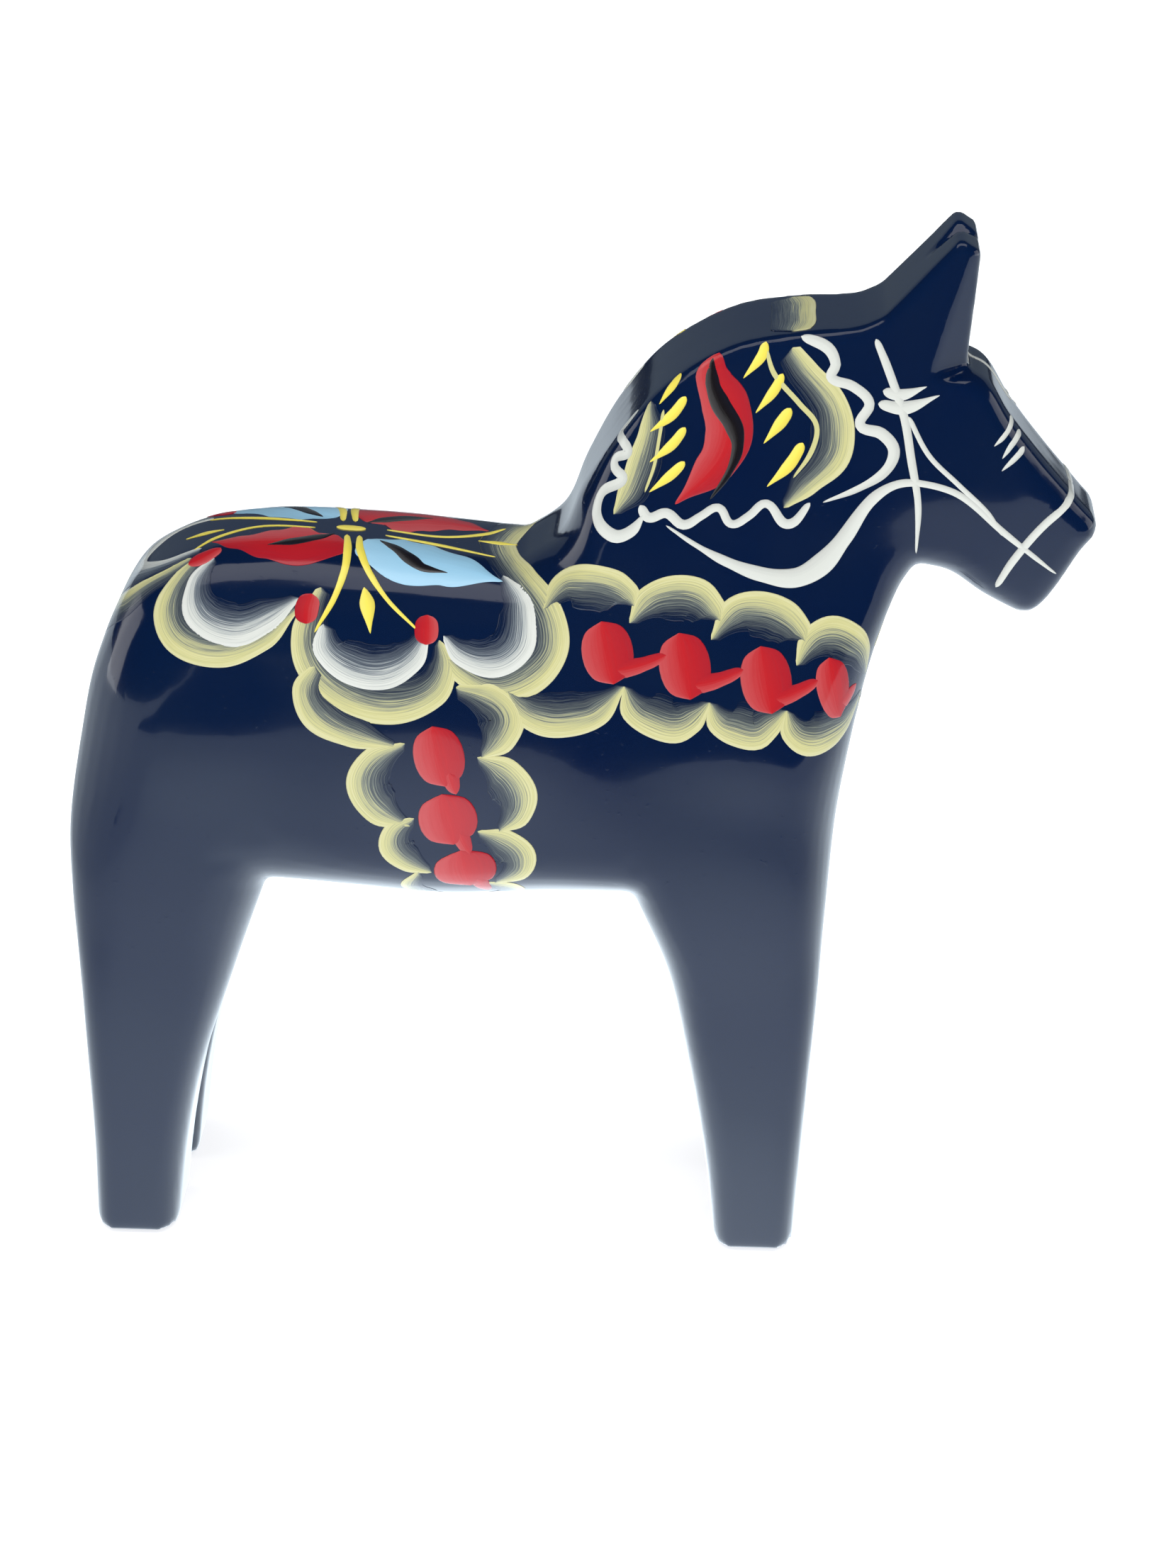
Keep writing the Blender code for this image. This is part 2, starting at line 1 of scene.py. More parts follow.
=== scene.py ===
"""A painted wooden horse: the navy coat over its glued boards, the brush strokes on it, and the studio.

Metres, +Z up, +X towards the muzzle, -Y on the horse's right side.
"""
import math

import bmesh
import bpy
import numpy as np
from mathutils import Matrix, Vector, noise
from mathutils.bvhtree import BVHTree
from mathutils.geometry import delaunay_2d_cdt


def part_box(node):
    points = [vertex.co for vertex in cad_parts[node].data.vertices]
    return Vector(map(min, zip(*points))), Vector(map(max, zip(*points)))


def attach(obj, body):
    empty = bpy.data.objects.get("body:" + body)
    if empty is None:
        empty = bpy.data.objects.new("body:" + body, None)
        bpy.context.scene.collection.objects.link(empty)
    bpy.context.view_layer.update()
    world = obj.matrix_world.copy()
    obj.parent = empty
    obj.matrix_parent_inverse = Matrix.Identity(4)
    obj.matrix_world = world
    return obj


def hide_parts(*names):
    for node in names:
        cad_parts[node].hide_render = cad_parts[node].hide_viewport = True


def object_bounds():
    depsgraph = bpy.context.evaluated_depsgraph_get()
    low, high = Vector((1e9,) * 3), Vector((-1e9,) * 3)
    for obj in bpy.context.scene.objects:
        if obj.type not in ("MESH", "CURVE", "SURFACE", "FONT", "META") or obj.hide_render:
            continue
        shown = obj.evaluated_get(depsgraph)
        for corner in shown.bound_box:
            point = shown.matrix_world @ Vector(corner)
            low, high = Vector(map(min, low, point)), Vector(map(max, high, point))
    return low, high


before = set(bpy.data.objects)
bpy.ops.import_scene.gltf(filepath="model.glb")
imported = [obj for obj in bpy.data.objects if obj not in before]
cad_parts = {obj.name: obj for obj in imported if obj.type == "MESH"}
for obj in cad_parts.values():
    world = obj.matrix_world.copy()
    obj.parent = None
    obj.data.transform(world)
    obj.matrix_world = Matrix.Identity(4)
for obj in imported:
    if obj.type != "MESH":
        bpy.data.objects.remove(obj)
CAD_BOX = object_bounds()
CAD_LOW, CAD_HIGH = (Vector(corner) for corner in CAD_BOX)

# Sizes read from the frame.
RUMP = CAD_LOW.x
MUZZLE = CAD_HIGH.x
EAR_TOP = CAD_HIGH.z
LEG_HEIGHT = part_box("core_barrel_stave")[0][2]
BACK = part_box("core_rump_stave")[1][2]
CORE_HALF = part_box("core_barrel_stave")[1][1]

# Side view.
HEAD_REACH = 0.055
HEAD_DEPTH = 0.070
NECK_BASE = 0.080
EAR_RISE = 0.0215
EAR_SETBACK = 0.0300
EAR_BASE = 0.022
EAR_TIP = 0.0050
HEEL_INSET = 0.0045
HIND_FOOT = 0.0200
HIND_THIGH = 0.0435
TOE_INSET = 0.0115
FORE_FOOT = 0.0195
FORE_THIGH = 0.0410

# Across the horse.
WIDTH = 0.072
FOOT_SPREAD = 0.069
HEAD_WIDTH = 0.031
MUZZLE_WIDTH = 0.026
CREST_WIDTH = 0.036
EAR_SPAN = 0.030
EAR_NOTCH_DEPTH = 0.0035
EAR_NOTCH_WIDTH = 0.0090
EAR_NOTCH_RUN = 0.0110
EAR_FACET_WIDTH = 0.0090
EAR_FACET_DEPTH = 0.0080
LEG_INNER_ROUND = 0.003
BODY_LIP = 0.0030
HEAD_LIP = 0.0012
LEG_CORNER = 0.0080
PAINT_BRIDGE = 0.0006

# How finely the coat is shaped.
OUTLINE_STEP = 0.0016
SOLE_STEP = 0.0012
INNER_STEP = 0.0040
ROUNDING_TURNS = (12.0, 24.0, 36.0, 48.0, 60.0, 72.0, 84.0, 96.0)
BLEND_SOFTNESS = 0.020
POINT_BLOCK = 400
COAT_VOXEL = 0.00119
COAT_SOFTENING = 3
CARVING_LENGTH = 0.022
CARVING_DEPTH = 0.00010
CARVING_CALM = 0.015

CREST = EAR_TOP - EAR_RISE
CHEST = MUZZLE - HEAD_REACH
WITHERS = CHEST - NECK_BASE
CHIN = CREST - HEAD_DEPTH
HIND_HEEL = RUMP + HEEL_INSET
HIND_TOE = HIND_HEEL + HIND_FOOT
GROIN = HIND_HEEL + HIND_THIGH
FORE_TOE = CHEST - TOE_INSET
FORE_HEEL = FORE_TOE - FORE_FOOT
ELBOW = FORE_TOE - FORE_THIGH
EAR_FRONT = MUZZLE - EAR_SETBACK
SIDE_INNER = CORE_HALF - PAINT_BRIDGE
GROIN_TOP = (GROIN, LEG_HEIGHT + 0.0050)
ELBOW_TOP = (ELBOW, LEG_HEIGHT + 0.0040)
THROAT = (CHEST + 0.0130, CHIN + 0.0127)
POLL = (EAR_FRONT - EAR_BASE, CREST + 0.0030)

# Enamel, varnish and wood.
ENAMEL_IOR = 1.5
VARNISH_IOR = 1.5
VARNISH_WEIGHT = 0.6
VARNISH_ROUGHNESS = 0.05
ENAMEL_ROUGHNESS = (0.10, 0.15)
BRUSHED_ROUGHNESS = (0.13, 0.24)
ENAMEL_RELIEF = 0.00006
DEPTH_SCALE = 22.0
SHEEN_SCALE = 45.0
PEEL_SCALE = 260.0
PEEL_SHARE = 0.10
SWELL_SCALE = 60.0
SWELL_SHARE = 0.90
NIB_SCALE = 900.0
NIB_SHARE = 0.45
STREAK_SHORTNESS = 45.0
GRAIN_SCALE = 900.0
GRAIN_STRETCH = (1.0, 0.06, 1.0)
GRAIN_RELIEF = 0.0001

# How a brush stroke is laid, unless its piece says otherwise.
BRUSH_SIZES = {"Step": 0.0008, "Film height": 0.00008, "Lift": 0.00003, "Bury": 0.00015,
               "End roundness": 0.002, "Fade": 0.0, "Lean": 0.0, "Spread": 1.0, "Ridge height": 0.00005}
RING_POINTS = 20
RING_FLATNESS = 0.02
UPPER_FROM = -0.02
END_SWELL = 0.12
RIDGE_SHORTNESS = 60.0
RIDGES_ACROSS = 6.0
STROKE_SHIFT = 0.37
BEAD_FULLNESS = 2.2
PATH_STEP = 0.0010
FINEST_HAIR = 0.00025
ACROSS_SIGN = -1.0
FLOWER_MIDDLE = -0.0545

# The camera.
CAMERA_AIM = Vector((0.0024, 0.0, 0.1083))
CAMERA_DISTANCE = 1.0142
CAMERA_PITCH = 22.5
CAMERA_YAW = 2.5
CAMERA_ROLL = 0.5
CAMERA_LENS = 63.8
CAMERA_FILM = 24.0

# The floor, and the glowing table that only the gloss shows, with a painted pool of light brightest under
# the horse.
FLOOR_REACH = 4.0
FLOOR_DROP = 0.0012
FLOOR_WHITE = (0.90, 0.90, 0.90, 1.0)
FLOOR_GLOW = 0.75
TABLE_REACH = 2.5
TABLE_WING = 0.60
TABLE_FRONT = 0.46
TABLE_BACK = 1.6
TABLE_DROP = 0.0006
TABLE_GLOW = 1.40
TABLE_TINT = (0.80, 0.91, 1.0, 1.0)
# Painted pool of light: the table's glow is boosted near the horse and falls off further out.
TABLE_NEAR = 0.03
TABLE_MIDDLE = 0.12
TABLE_FAR = 0.40
TABLE_NEAR_BOOST = 1.6
TABLE_FAR_SHARE = 0.47

# The light in the studio.
AIR_ON_PAINT = (0.45, 0.46, 0.48, 1.0)
AIR_IN_GLOSS = (0.012, 0.016, 0.024, 1.0)
DAYLIGHT = (1.0, 1.0, 1.0)
SKYLIGHT = (0.72, 0.88, 1.0)
LIGHTS = (
    # name, place, aim, size, power, tint, whether it shows in the gloss, whether it lights the paint
    ("overhead_seen", (-0.05, 0.18, 1.25), (-0.05, 0.18, 0.0), (1.5, 0.56), 2.6, DAYLIGHT, True, False),
    ("rear_window_seen", (-1.5, 0.35, 0.45), (0.0, 0.0, 0.15), (0.7, 0.9), 2.2, DAYLIGHT, True, False),
    ("far_wall_seen", (0.0, 1.8, 0.55), (0.0, 0.0, 0.25), (3.6, 0.9), 1.2, SKYLIGHT, True, False),
    ("front_window_seen", (1.3, 0.35, 0.2), (0.0, 0.0, 0.2), (0.9, 0.9), 1.8, DAYLIGHT, True, False),
    ("overhead", (0.0, -0.35, 1.3), (0.0, 0.0, 0.1), (1.4, 1.4), 13.0, DAYLIGHT, False, True),
    ("fill", (0.1, -1.4, 0.45), (0.0, 0.0, 0.12), (1.6, 1.0), 6.0, DAYLIGHT, False, True),
)

# Brush strokes: control points in millimetres on the horse's right side, each with the half width there.
# (x, z, half width) lies on the flank; (x, y, z, half width) lies wherever the coat is nearest.
# A loaded brush carries plain colour along the right-hand edge of its travel and fades to the left.
SADDLE_CREAM = (
    ((-86, -13, 171, 0.6), (-93, -20, 167, 2), (-96, 160, 2.8), (-92, 154, 3), (-82, 152, 3),
     (-72, 156, 2.4), (-64, 163, 0.6)),
    ((-59, 167, 1), (-63, 158, 2.4), (-61, 149, 3), (-53, 142, 3.4), (-42, 140, 3.4), (-32, 144, 2.8),
     (-29, 151, 2), (-31, 157, 0.6)),
    ((-30, 154, 0.6), (-26, 149, 2), (-18, 145, 3), (-9, 148, 3.4), (-4, 155, 3),
     (-5, -28, 163, 2.8), (-11, -20, 168, 2.4), (-16, -8, 170, 2.4), (-18, 2, 170, 2.4)),
)
SADDLE_WHITE = (
    ((-85, -17, 170, 0.6), (-89, -22, 166, 1.6), (-88, 160, 2.8), (-79, 157, 3), (-71, 160, 2.4),
     (-64, 165, 0.6)),
    ((-58, 160, 1), (-58, 154, 2.4), (-52, 149, 3), (-44, 148, 3), (-37, 152, 2.4), (-34, 158, 1)),
    ((-30, 158, 0.6), (-26, 153, 2), (-18, 151, 2.8), (-12, 155, 2.8), (-11, -28, 162, 2.4),
     (-13, -24, 166, 1.6), (-17, -19, 169, 0.6)),
)
RUMP_CREAM = (
    ((-91, -15, 170, 1), (-98, -17, 166, 1.6), (-106, -15, 159, 2.4), (-112, 0, 153, 2.8),
     (-106, 15, 159, 2.4), (-98, 17, 166, 1.6), (-91, 15, 170, 1)),
)
RUMP_WHITE = (
    ((-89, -11, 171, 1), (-96, -12, 167, 1.6), (-102, -9, 165, 2.4), (-106, 0, 162, 2.8),
     (-102, 9, 165, 2.4), (-96, 12, 167, 1.6), (-89, 11, 171, 1)),
)
GIRTH_CREAM = (
    ((-60, 150, 1.4), (-63, 144, 2.4), (-60, 137, 3), (-52, 133, 2.4), (-41, 131, 0.6)),
    ((-39, 132, 0.6), (-47, 128, 2.4), (-50, 121, 3), (-46, 114, 2.8), (-38, 111, 0.6)),
    ((-37, 113, 0.6), (-42, 110, 2), (-43, 105, 2.4), (-39, 101, 2), (-33, 99, 0.6)),
    ((-36, 99, 0.6), (-39, -31, 95, 1.6), (-37, -27, 91, 2), (-31, -22, 88, 0.6)),
    ((-21, 129, 0.6), (-16, 133, 2.8), (-14, 139, 3), (-18, 144, 2.8), (-27, 146, 1)),
    ((-17, 110, 0.6), (-12, 114, 2.4), (-11, 120, 3), (-15, 126, 2.8), (-22, 129, 0.6)),
    ((-18, 96, 0.6), (-12, 99, 2), (-11, 104, 2.8), (-15, 108, 2.4), (-22, 110, 0.6)),
    ((-20, -23, 88, 0.6), (-13, -28, 91, 1.6), (-14, -31, 94, 2), (-20, 96, 0.6)),
)
CHEST_CREAM = (
    ((14, 165, 0.4), (13, 168, 2.4), (9, 171, 3), (3, 172, 3), (-3, 170, 2.6), (-7, 164, 0.6)),
    ((34, 161, 0.4), (33, 164, 2.4), (29, 168, 3), (23, 169, 3), (17, 167, 2.6), (13, 161, 0.6)),
    ((54, 156, 0.4), (53, 159, 2.4), (49, 163, 3), (43, 165, 3), (37, 164, 2.6), (32, 157, 0.6)),
    ((68, -16, 145, 0.6), (68, -20, 152, 2), (65, 157, 2.8), (60, 159, 3), (55, 157, 2.4), (52, 151, 0.6)),
    ((-15, 145, 0.6), (-12, 140, 2.4), (-6, 137, 3), (0, 137, 3), (6, 139, 2.6), (12, 146, 0.6)),
    ((12, 146, 0.6), (14, 140, 2.6), (19, 137, 3), (24, 136, 3), (28, 138, 2.4), (32, 143, 0.6)),
    ((32, 143, 0.6), (34, 138, 2.4), (38, 136, 3), (43, 135, 3), (46, 137, 2.4), (50, 141, 0.6)),
    ((50, 141, 0.6), (51, 136, 2.4), (55, 133, 3), (60, 133, 2.8), (65, -22, 135, 2), (67, -16, 141, 0.6)),
)
BREAST_CREAM = (
    ((68, 14, 152, 0.6), (69, 8, 157, 2.8), (69, 0, 159, 3), (69, -8, 157, 2.8), (68, -14, 152, 0.6)),
    ((66, -15, 139, 0.6), (66, -8, 133, 2.8), (66, 0, 131, 3), (66, 8, 133, 2.8), (66, 15, 139, 0.6)),
)
NECK_CREAM = (
    ((48, 188, 0.6), (54, 193, 2), (60, 199, 2.8), (61, 206, 2.8), (59, 213, 2.4), (53, 220, 2),
     (49, 225, 1.6)),
    ((17, 212, 0.6), (16, 206, 1.8), (14, 199, 2.2), (12, 193, 2), (9, 187, 0.5)),
)
CREST_CREAM = (
    ((49, -14, 228, 3.6), (50, -8, 229, 4), (50, 0, 229, 4), (50, 8, 229, 4), (49, 14, 228, 3.6)),
)
# Red beads: middle x and z, half width, half height, then the way the tail leaves the bead.
GIRTH_RED_BEADS = (
    (-31, 129, 6, 7.5, 2, -9), (-29, 113, 7, 6.5, 3, -9), (-25, 100, 7.5, 5, 3, -8),
)
CHEST_RED_BEADS = (
    (8, 154, 6, 7.5, 14, 2), (26, 151, 6, 7.5, 14, 2), (45, 148, 6, 7.5, 12, 2), (61, 145, 4.5, 7.5, 4, 2),
)
BREAST_RED = (
    ((68, -6, 150, 2.5), (68, -2, 147, 6), (67, 3, 143, 5.5), (67, 7, 141, 2)),
)
SADDLE_RED_DOTS = (
    ((-91, -17, 168, 1.8), (-88, -16, 169, 2.6), (-84, -13, 171, 1.8)),
    ((-62, 160, 2.4), (-62, -30, 163, 2.8), (-61, -28, 166, 2.4)),
    ((-34, 156, 2.4), (-34, -32, 159, 2.8), (-34, -30, 162, 2.4)),
)
FLOWER_RED = (
    ((-57, -6, 173, 3), (-60, -9, 173, 9), (-66, -11, 172, 11), (-73, -11, 172, 8), (-80, -10, 172, 4),
     (-87, -8, 172, 0.4)),
)
FLOWER_BLUE = (
    ((-50, -7, 172, 3), (-46, -11, 172, 8), (-38, -16, 171, 10), (-29, -18, 170, 7), (-17, -21, 168, 0.5)),
)
FLOWER_BLACK = (
    ((-58, -5, 173, 0.4), (-62, -8, 173, 1.8), (-67, -11, 173, 2), (-73, -13, 172, 0.4)),
    ((-47, -7, 172, 0.5), (-43, -11, 171, 1.5), (-39, -16, 170, 2), (-36, -19, 170, 1.5),
     (-30, -20, 169, 0.3)),
)
FLOWER_YELLOW = (
    ((-55, -5, 173, 0.7), (-54, -14, 172, 1), (-54, -22, 169, 0.9), (-56, -28, 164, 0.7),
     (-60, -32, 158, 0.3)),
    ((-52, -5, 173, 0.7), (-51, -14, 171, 1), (-48, -22, 168, 0.8), (-43, -28, 164, 0.5),
     (-36, -32, 159, 0.3)),
    ((-49, -26, 167, 0.6), (-48, -29, 164, 1.8), (-47, -32, 158, 0.3)),
    ((-63, -1, 173, 0.4), (-76, 0, 173, 0.6), (-86, -5, 172, 0.8), (-91, -11, 171, 0.4)),
    ((-63, 3, 173, 0.4), (-76, 6, 173, 0.8), (-90, 10, 172, 0.4)),
    ((-85, 0, 172, 0.3), (-90, 0, 172, 1.2), (-95, 0, 171, 0.3)),
)
FLOWER_HEART = (
    ((-58, 0, 173, 1.4), (-55, 0, 173, 1.7), (-51, 0, 173, 1.4)),
)
NECK_YELLOW = (
    ((50, 195, 0.3), (54, 201, 0.6), (55, 207, 0.6), (51, 212, 0.6), (45, 219, 0.6), (43, 225, 0.4)),
    ((16, 192, 0.3), (18, 198, 0.4), (19, 204, 0.4), (20, 211, 0.4)),
)
NECK_DASHES = (
    ((23, 219, 1), (22, 216, 1.2), (19, 212, 0.3)),
    ((25, 214, 1), (22, 210, 1.2), (17, 206, 0.3)),
    ((25, 207, 1), (22, 203, 1.2), (17, 199, 0.3)),
    ((25, 199, 1), (22, 196, 1.2), (17, 192, 0.3)),
    ((43, 226, 1), (42, 223, 1.2), (38, 218, 0.3)),
    ((47, 219, 1), (45, 215, 1.2), (41, 210, 0.3)),
    ((49, 211, 1.2), (47, 208, 1.4), (43, 203, 0.3)),
    ((52, 203, 1.2), (49, 198, 1.4), (44, 193, 0.3)),
)
NECK_RED = (
    ((32, -18, 224, 1.5), (31, 219, 4), (34, 212, 5.5), (35, 205, 5.5), (32, 198, 4.5), (23, 189, 0.5)),
)
NECK_BLACK = (
    ((31, 222, 0.5), (31, 217, 1.7), (33, 212, 2.3), (36, 207, 2.2), (37, 202, 1.4), (35, 196, 0.8),
     (31, 190, 0.3)),
)
WHITE_WAVES = (
    ((13, 210, 0.8), (10, 207, 1.2), (10, 204, 1.2), (12, 201, 1.2), (9, 199, 1.2), (9, 197, 1.2),
     (11, 195, 1.2), (6, 191, 1.3), (5, 186, 1.5), (9, 182, 1.6), (13, 183, 1.4), (16, 187, 0.4)),
    ((15, 189, 1.2), (17, 186, 1.2), (21, 187, 1.2), (25, 184, 1.2), (29, 186, 1), (33, 188, 1),
     (36, 184, 1), (40, 186, 1), (44, 189, 1), (49, 184, 1.2), (54, 189, 0.8)),
    ((51, -17, 227, 1.2), (57, 225, 1.4), (59, 221, 1.2), (58, 218, 1.2), (63, 216, 1.2), (67, 212, 1.2),
     (65, 207, 1.2), (70, 205, 1.4), (73, 201, 1.4), (71, 196, 1.2), (65, 192, 0.8), (57, 189, 0.3)),
)
HARNESS_WHITE = (
    ((21, 184, 0.3), (28, 179, 0.6), (35, 175, 1.2), (43, 172, 1.8), (51, 171, 2.4), (57, 174, 2.8),
     (62, 180, 2), (68, 189, 1.4), (74, 193, 1), (81, 193, 0.8), (89, 190, 0.8), (99, 181, 0.8),
     (106, 175, 0.6), (112, 170, 0.3)),
    ((68, 227, 0.8), (71, 220, 1), (75, 209, 1), (77, 199, 1), (79, 188, 0.8), (79, 176, 0.3)),
    ((76, 209, 0.6), (81, 200, 0.6), (88, 193, 0.6), (95, 186, 0.6), (99, 180, 0.4)),
    ((98, 167, 0.8), (102, 174, 1), (109, 183, 1), (113, -9, 187, 1), (116, 0, 189, 1)),
    ((70, 215, 1.2), (74, 214, 1.4), (80, 216, 0.3)),
    ((69, 212, 1.2), (75, 211, 1.6), (83, 214, 0.3)),
    ((100, 207, 0.8), (98, 204, 0.6), (96, 202, 0.3)),
    ((102, 204, 0.8), (100, 202, 0.7), (98, 199, 0.3)),
    ((103, 201, 0.8), (101, 199, 0.7), (98, 196, 0.3)),
)
NOSE_WHITE = (
    ((89, 2, 220, 0.6), (93, 3, 216, 0.8), (98, 5, 210, 0.8), (101, 7, 206, 0.5)),
)


def between(low, high, share):
    """The value that lies this share of the way from low to high."""
    return low + (high - low) * share


def leg_runs():
    """The side view's lower half, from the hind heel to the throat, as smooth runs of (x, z)."""
    hind_sole = [(HIND_HEEL, 0.0), (HIND_TOE, 0.0)]
    hind_front = [
        (HIND_TOE, 0.0),
        (between(HIND_TOE, GROIN, 0.13), LEG_HEIGHT * 0.27),
        (between(HIND_TOE, GROIN, 0.31), LEG_HEIGHT * 0.50),
        (between(HIND_TOE, GROIN, 0.63), LEG_HEIGHT * 0.77),
        GROIN_TOP,
    ]
    belly = [
        GROIN_TOP,
        (between(GROIN, ELBOW, 0.24), LEG_HEIGHT + 0.0018),
        (between(GROIN, ELBOW, 0.50), LEG_HEIGHT),
        (between(GROIN, ELBOW, 0.79), LEG_HEIGHT + 0.0020),
        ELBOW_TOP,
    ]
    fore_rear = [
        ELBOW_TOP,
        (between(ELBOW, FORE_HEEL, 0.43), LEG_HEIGHT * 0.81),
        (between(ELBOW, FORE_HEEL, 0.68), LEG_HEIGHT * 0.54),
        (between(ELBOW, FORE_HEEL, 0.87), LEG_HEIGHT * 0.27),
        (FORE_HEEL, 0.0),
    ]
    fore_sole = [(FORE_HEEL, 0.0), (FORE_TOE, 0.0)]
    fore_front = [
        (FORE_TOE, 0.0),
        (between(FORE_TOE, CHEST, 0.16), LEG_HEIGHT * 0.34),
        (between(FORE_TOE, CHEST, 0.38), LEG_HEIGHT * 0.75),
        (between(FORE_TOE, CHEST, 0.62), between(LEG_HEIGHT, THROAT[1], 0.20)),
        (between(FORE_TOE, CHEST, 0.88), between(LEG_HEIGHT, THROAT[1], 0.44)),
        (between(CHEST, THROAT[0], 0.28), between(LEG_HEIGHT, THROAT[1], 0.73)),
        (between(CHEST, THROAT[0], 0.72), between(LEG_HEIGHT, THROAT[1], 0.93)),
        THROAT,
    ]
    return [hind_sole, hind_front, belly, fore_rear, fore_sole, fore_front]


def head_runs():
    """The throat, jaw, muzzle, nose and ears, as smooth runs of (x, z)."""
    chin = (MUZZLE - 0.0170, CHIN)
    nose_tip = (MUZZLE - 0.0040, CHIN + 0.0273)
    forehead = (EAR_FRONT - 0.0022, CREST - 0.0100)
    ear_edge = (EAR_FRONT, EAR_TOP - 0.0030)
    ear_point = (EAR_FRONT - EAR_TIP, EAR_TOP)
    jaw = [THROAT, (between(THROAT[0], chin[0], 0.30), CHIN + 0.0108),
           (between(THROAT[0], chin[0], 0.62), CHIN + 0.0052), chin]
    muzzle = [chin, (MUZZLE - 0.0138, CHIN + 0.0010), (MUZZLE - 0.0098, CHIN + 0.0055),
              (MUZZLE - 0.0036, CHIN + 0.0160), (MUZZLE, CHIN + 0.0218), nose_tip]
    nose = [nose_tip, (between(nose_tip[0], forehead[0], 0.30), between(nose_tip[1], forehead[1], 0.30)),
            (between(nose_tip[0], forehead[0], 0.60), between(nose_tip[1], forehead[1], 0.63)),
            (between(nose_tip[0], forehead[0], 0.81), between(nose_tip[1], forehead[1], 0.91)), forehead]
    return [jaw, muzzle, nose, [forehead, ear_edge], [ear_edge, ear_point], [ear_point, POLL]]


def back_runs():
    """The crest, the back of the neck, the back and the rump down to the heel, as runs of (x, z)."""
    dip = (WITHERS, BACK - 0.0038)
    neck = [
        POLL,
        (between(dip[0], POLL[0], 0.93), CREST + 0.0005),
        (between(dip[0], POLL[0], 0.78), between(dip[1], CREST, 0.99)),
        (between(dip[0], POLL[0], 0.585), between(dip[1], CREST, 0.935)),
        (between(dip[0], POLL[0], 0.395), between(dip[1], CREST, 0.77)),
        (between(dip[0], POLL[0], 0.265), between(dip[1], CREST, 0.55)),
        (between(dip[0], POLL[0], 0.175), between(dip[1], CREST, 0.33)),
        (between(dip[0], POLL[0], 0.110), between(dip[1], CREST, 0.12)),
        dip,
    ]
    back = [
        dip,
        (between(dip[0], RUMP, 0.24), BACK - 0.0014),
        (between(dip[0], RUMP, 0.48), BACK),
        (between(dip[0], RUMP, 0.66), BACK - 0.0014),
        (between(dip[0], RUMP, 0.77), BACK - 0.0052),
        (between(dip[0], RUMP, 0.860), between(LEG_HEIGHT, BACK, 0.86)),
        (between(dip[0], RUMP, 0.938), between(LEG_HEIGHT, BACK, 0.65)),
        (between(dip[0], RUMP, 0.975), between(LEG_HEIGHT, BACK, 0.45)),
        (RUMP, between(LEG_HEIGHT, BACK, 0.22)),
        (RUMP + HEEL_INSET * 0.15, LEG_HEIGHT),
        (RUMP + HEEL_INSET * 0.55, LEG_HEIGHT * 0.72),
        (RUMP + HEEL_INSET * 0.9, LEG_HEIGHT * 0.30),
        (HIND_HEEL, 0.0),
    ]
    return [neck, back]


def core_bottom_run():
    """The core board's lower edge, which continues the belly across the legs, from rear to front."""
    return [
        (RUMP - 0.0100, LEG_HEIGHT + 0.0240),
        (RUMP + 0.0100, LEG_HEIGHT + 0.0100),
        GROIN_TOP,
        (between(GROIN, ELBOW, 0.50), LEG_HEIGHT),
        ELBOW_TOP,
        (FORE_TOE - 0.0020, LEG_HEIGHT + 0.0090),
        (CHEST + 0.0100, LEG_HEIGHT + 0.0240),
    ]


def smooth_run(points, step, least=1):
    """Points at about this step along a curve through the given points, without the last one."""
    knots = [Vector(point) for point in points]
    padded = [2 * knots[0] - knots[1]] + knots + [2 * knots[-1] - knots[-2]]
    samples = []
    for before, start, end, after in zip(padded, padded[1:], padded[2:], padded[3:]):
        count = max(least, round((end - start).length / step))
        for index in range(count):
            samples.append(curve_point(before, start, end, after, index / count))
    return samples


def curve_point(before, start, end, after, share):
    """A point on a smooth curve from start to end whose direction also heeds its neighbours."""
    reach = (end - start).length
    leave = (end - before).normalized() * reach
    arrive = (after - start).normalized() * reach
    s2 = share * share
    s3 = s2 * share
    return (start * (2 * s3 - 3 * s2 + 1) + leave * (s3 - 2 * s2 + share)
            + end * (3 * s2 - 2 * s3) + arrive * (s3 - s2))


def is_sole(run):
    """Whether a run lies flat on the ground."""
    return all(z == 0.0 for _, z in run)


def side_outline(step):
    """The horse's whole side view as a closed, anticlockwise list of (x, z)."""
    samples = []
    for run in leg_runs() + head_runs() + back_runs():
        samples += smooth_run(run, SOLE_STEP if is_sole(run) else step)
    return np.array([tuple(point) for point in samples])


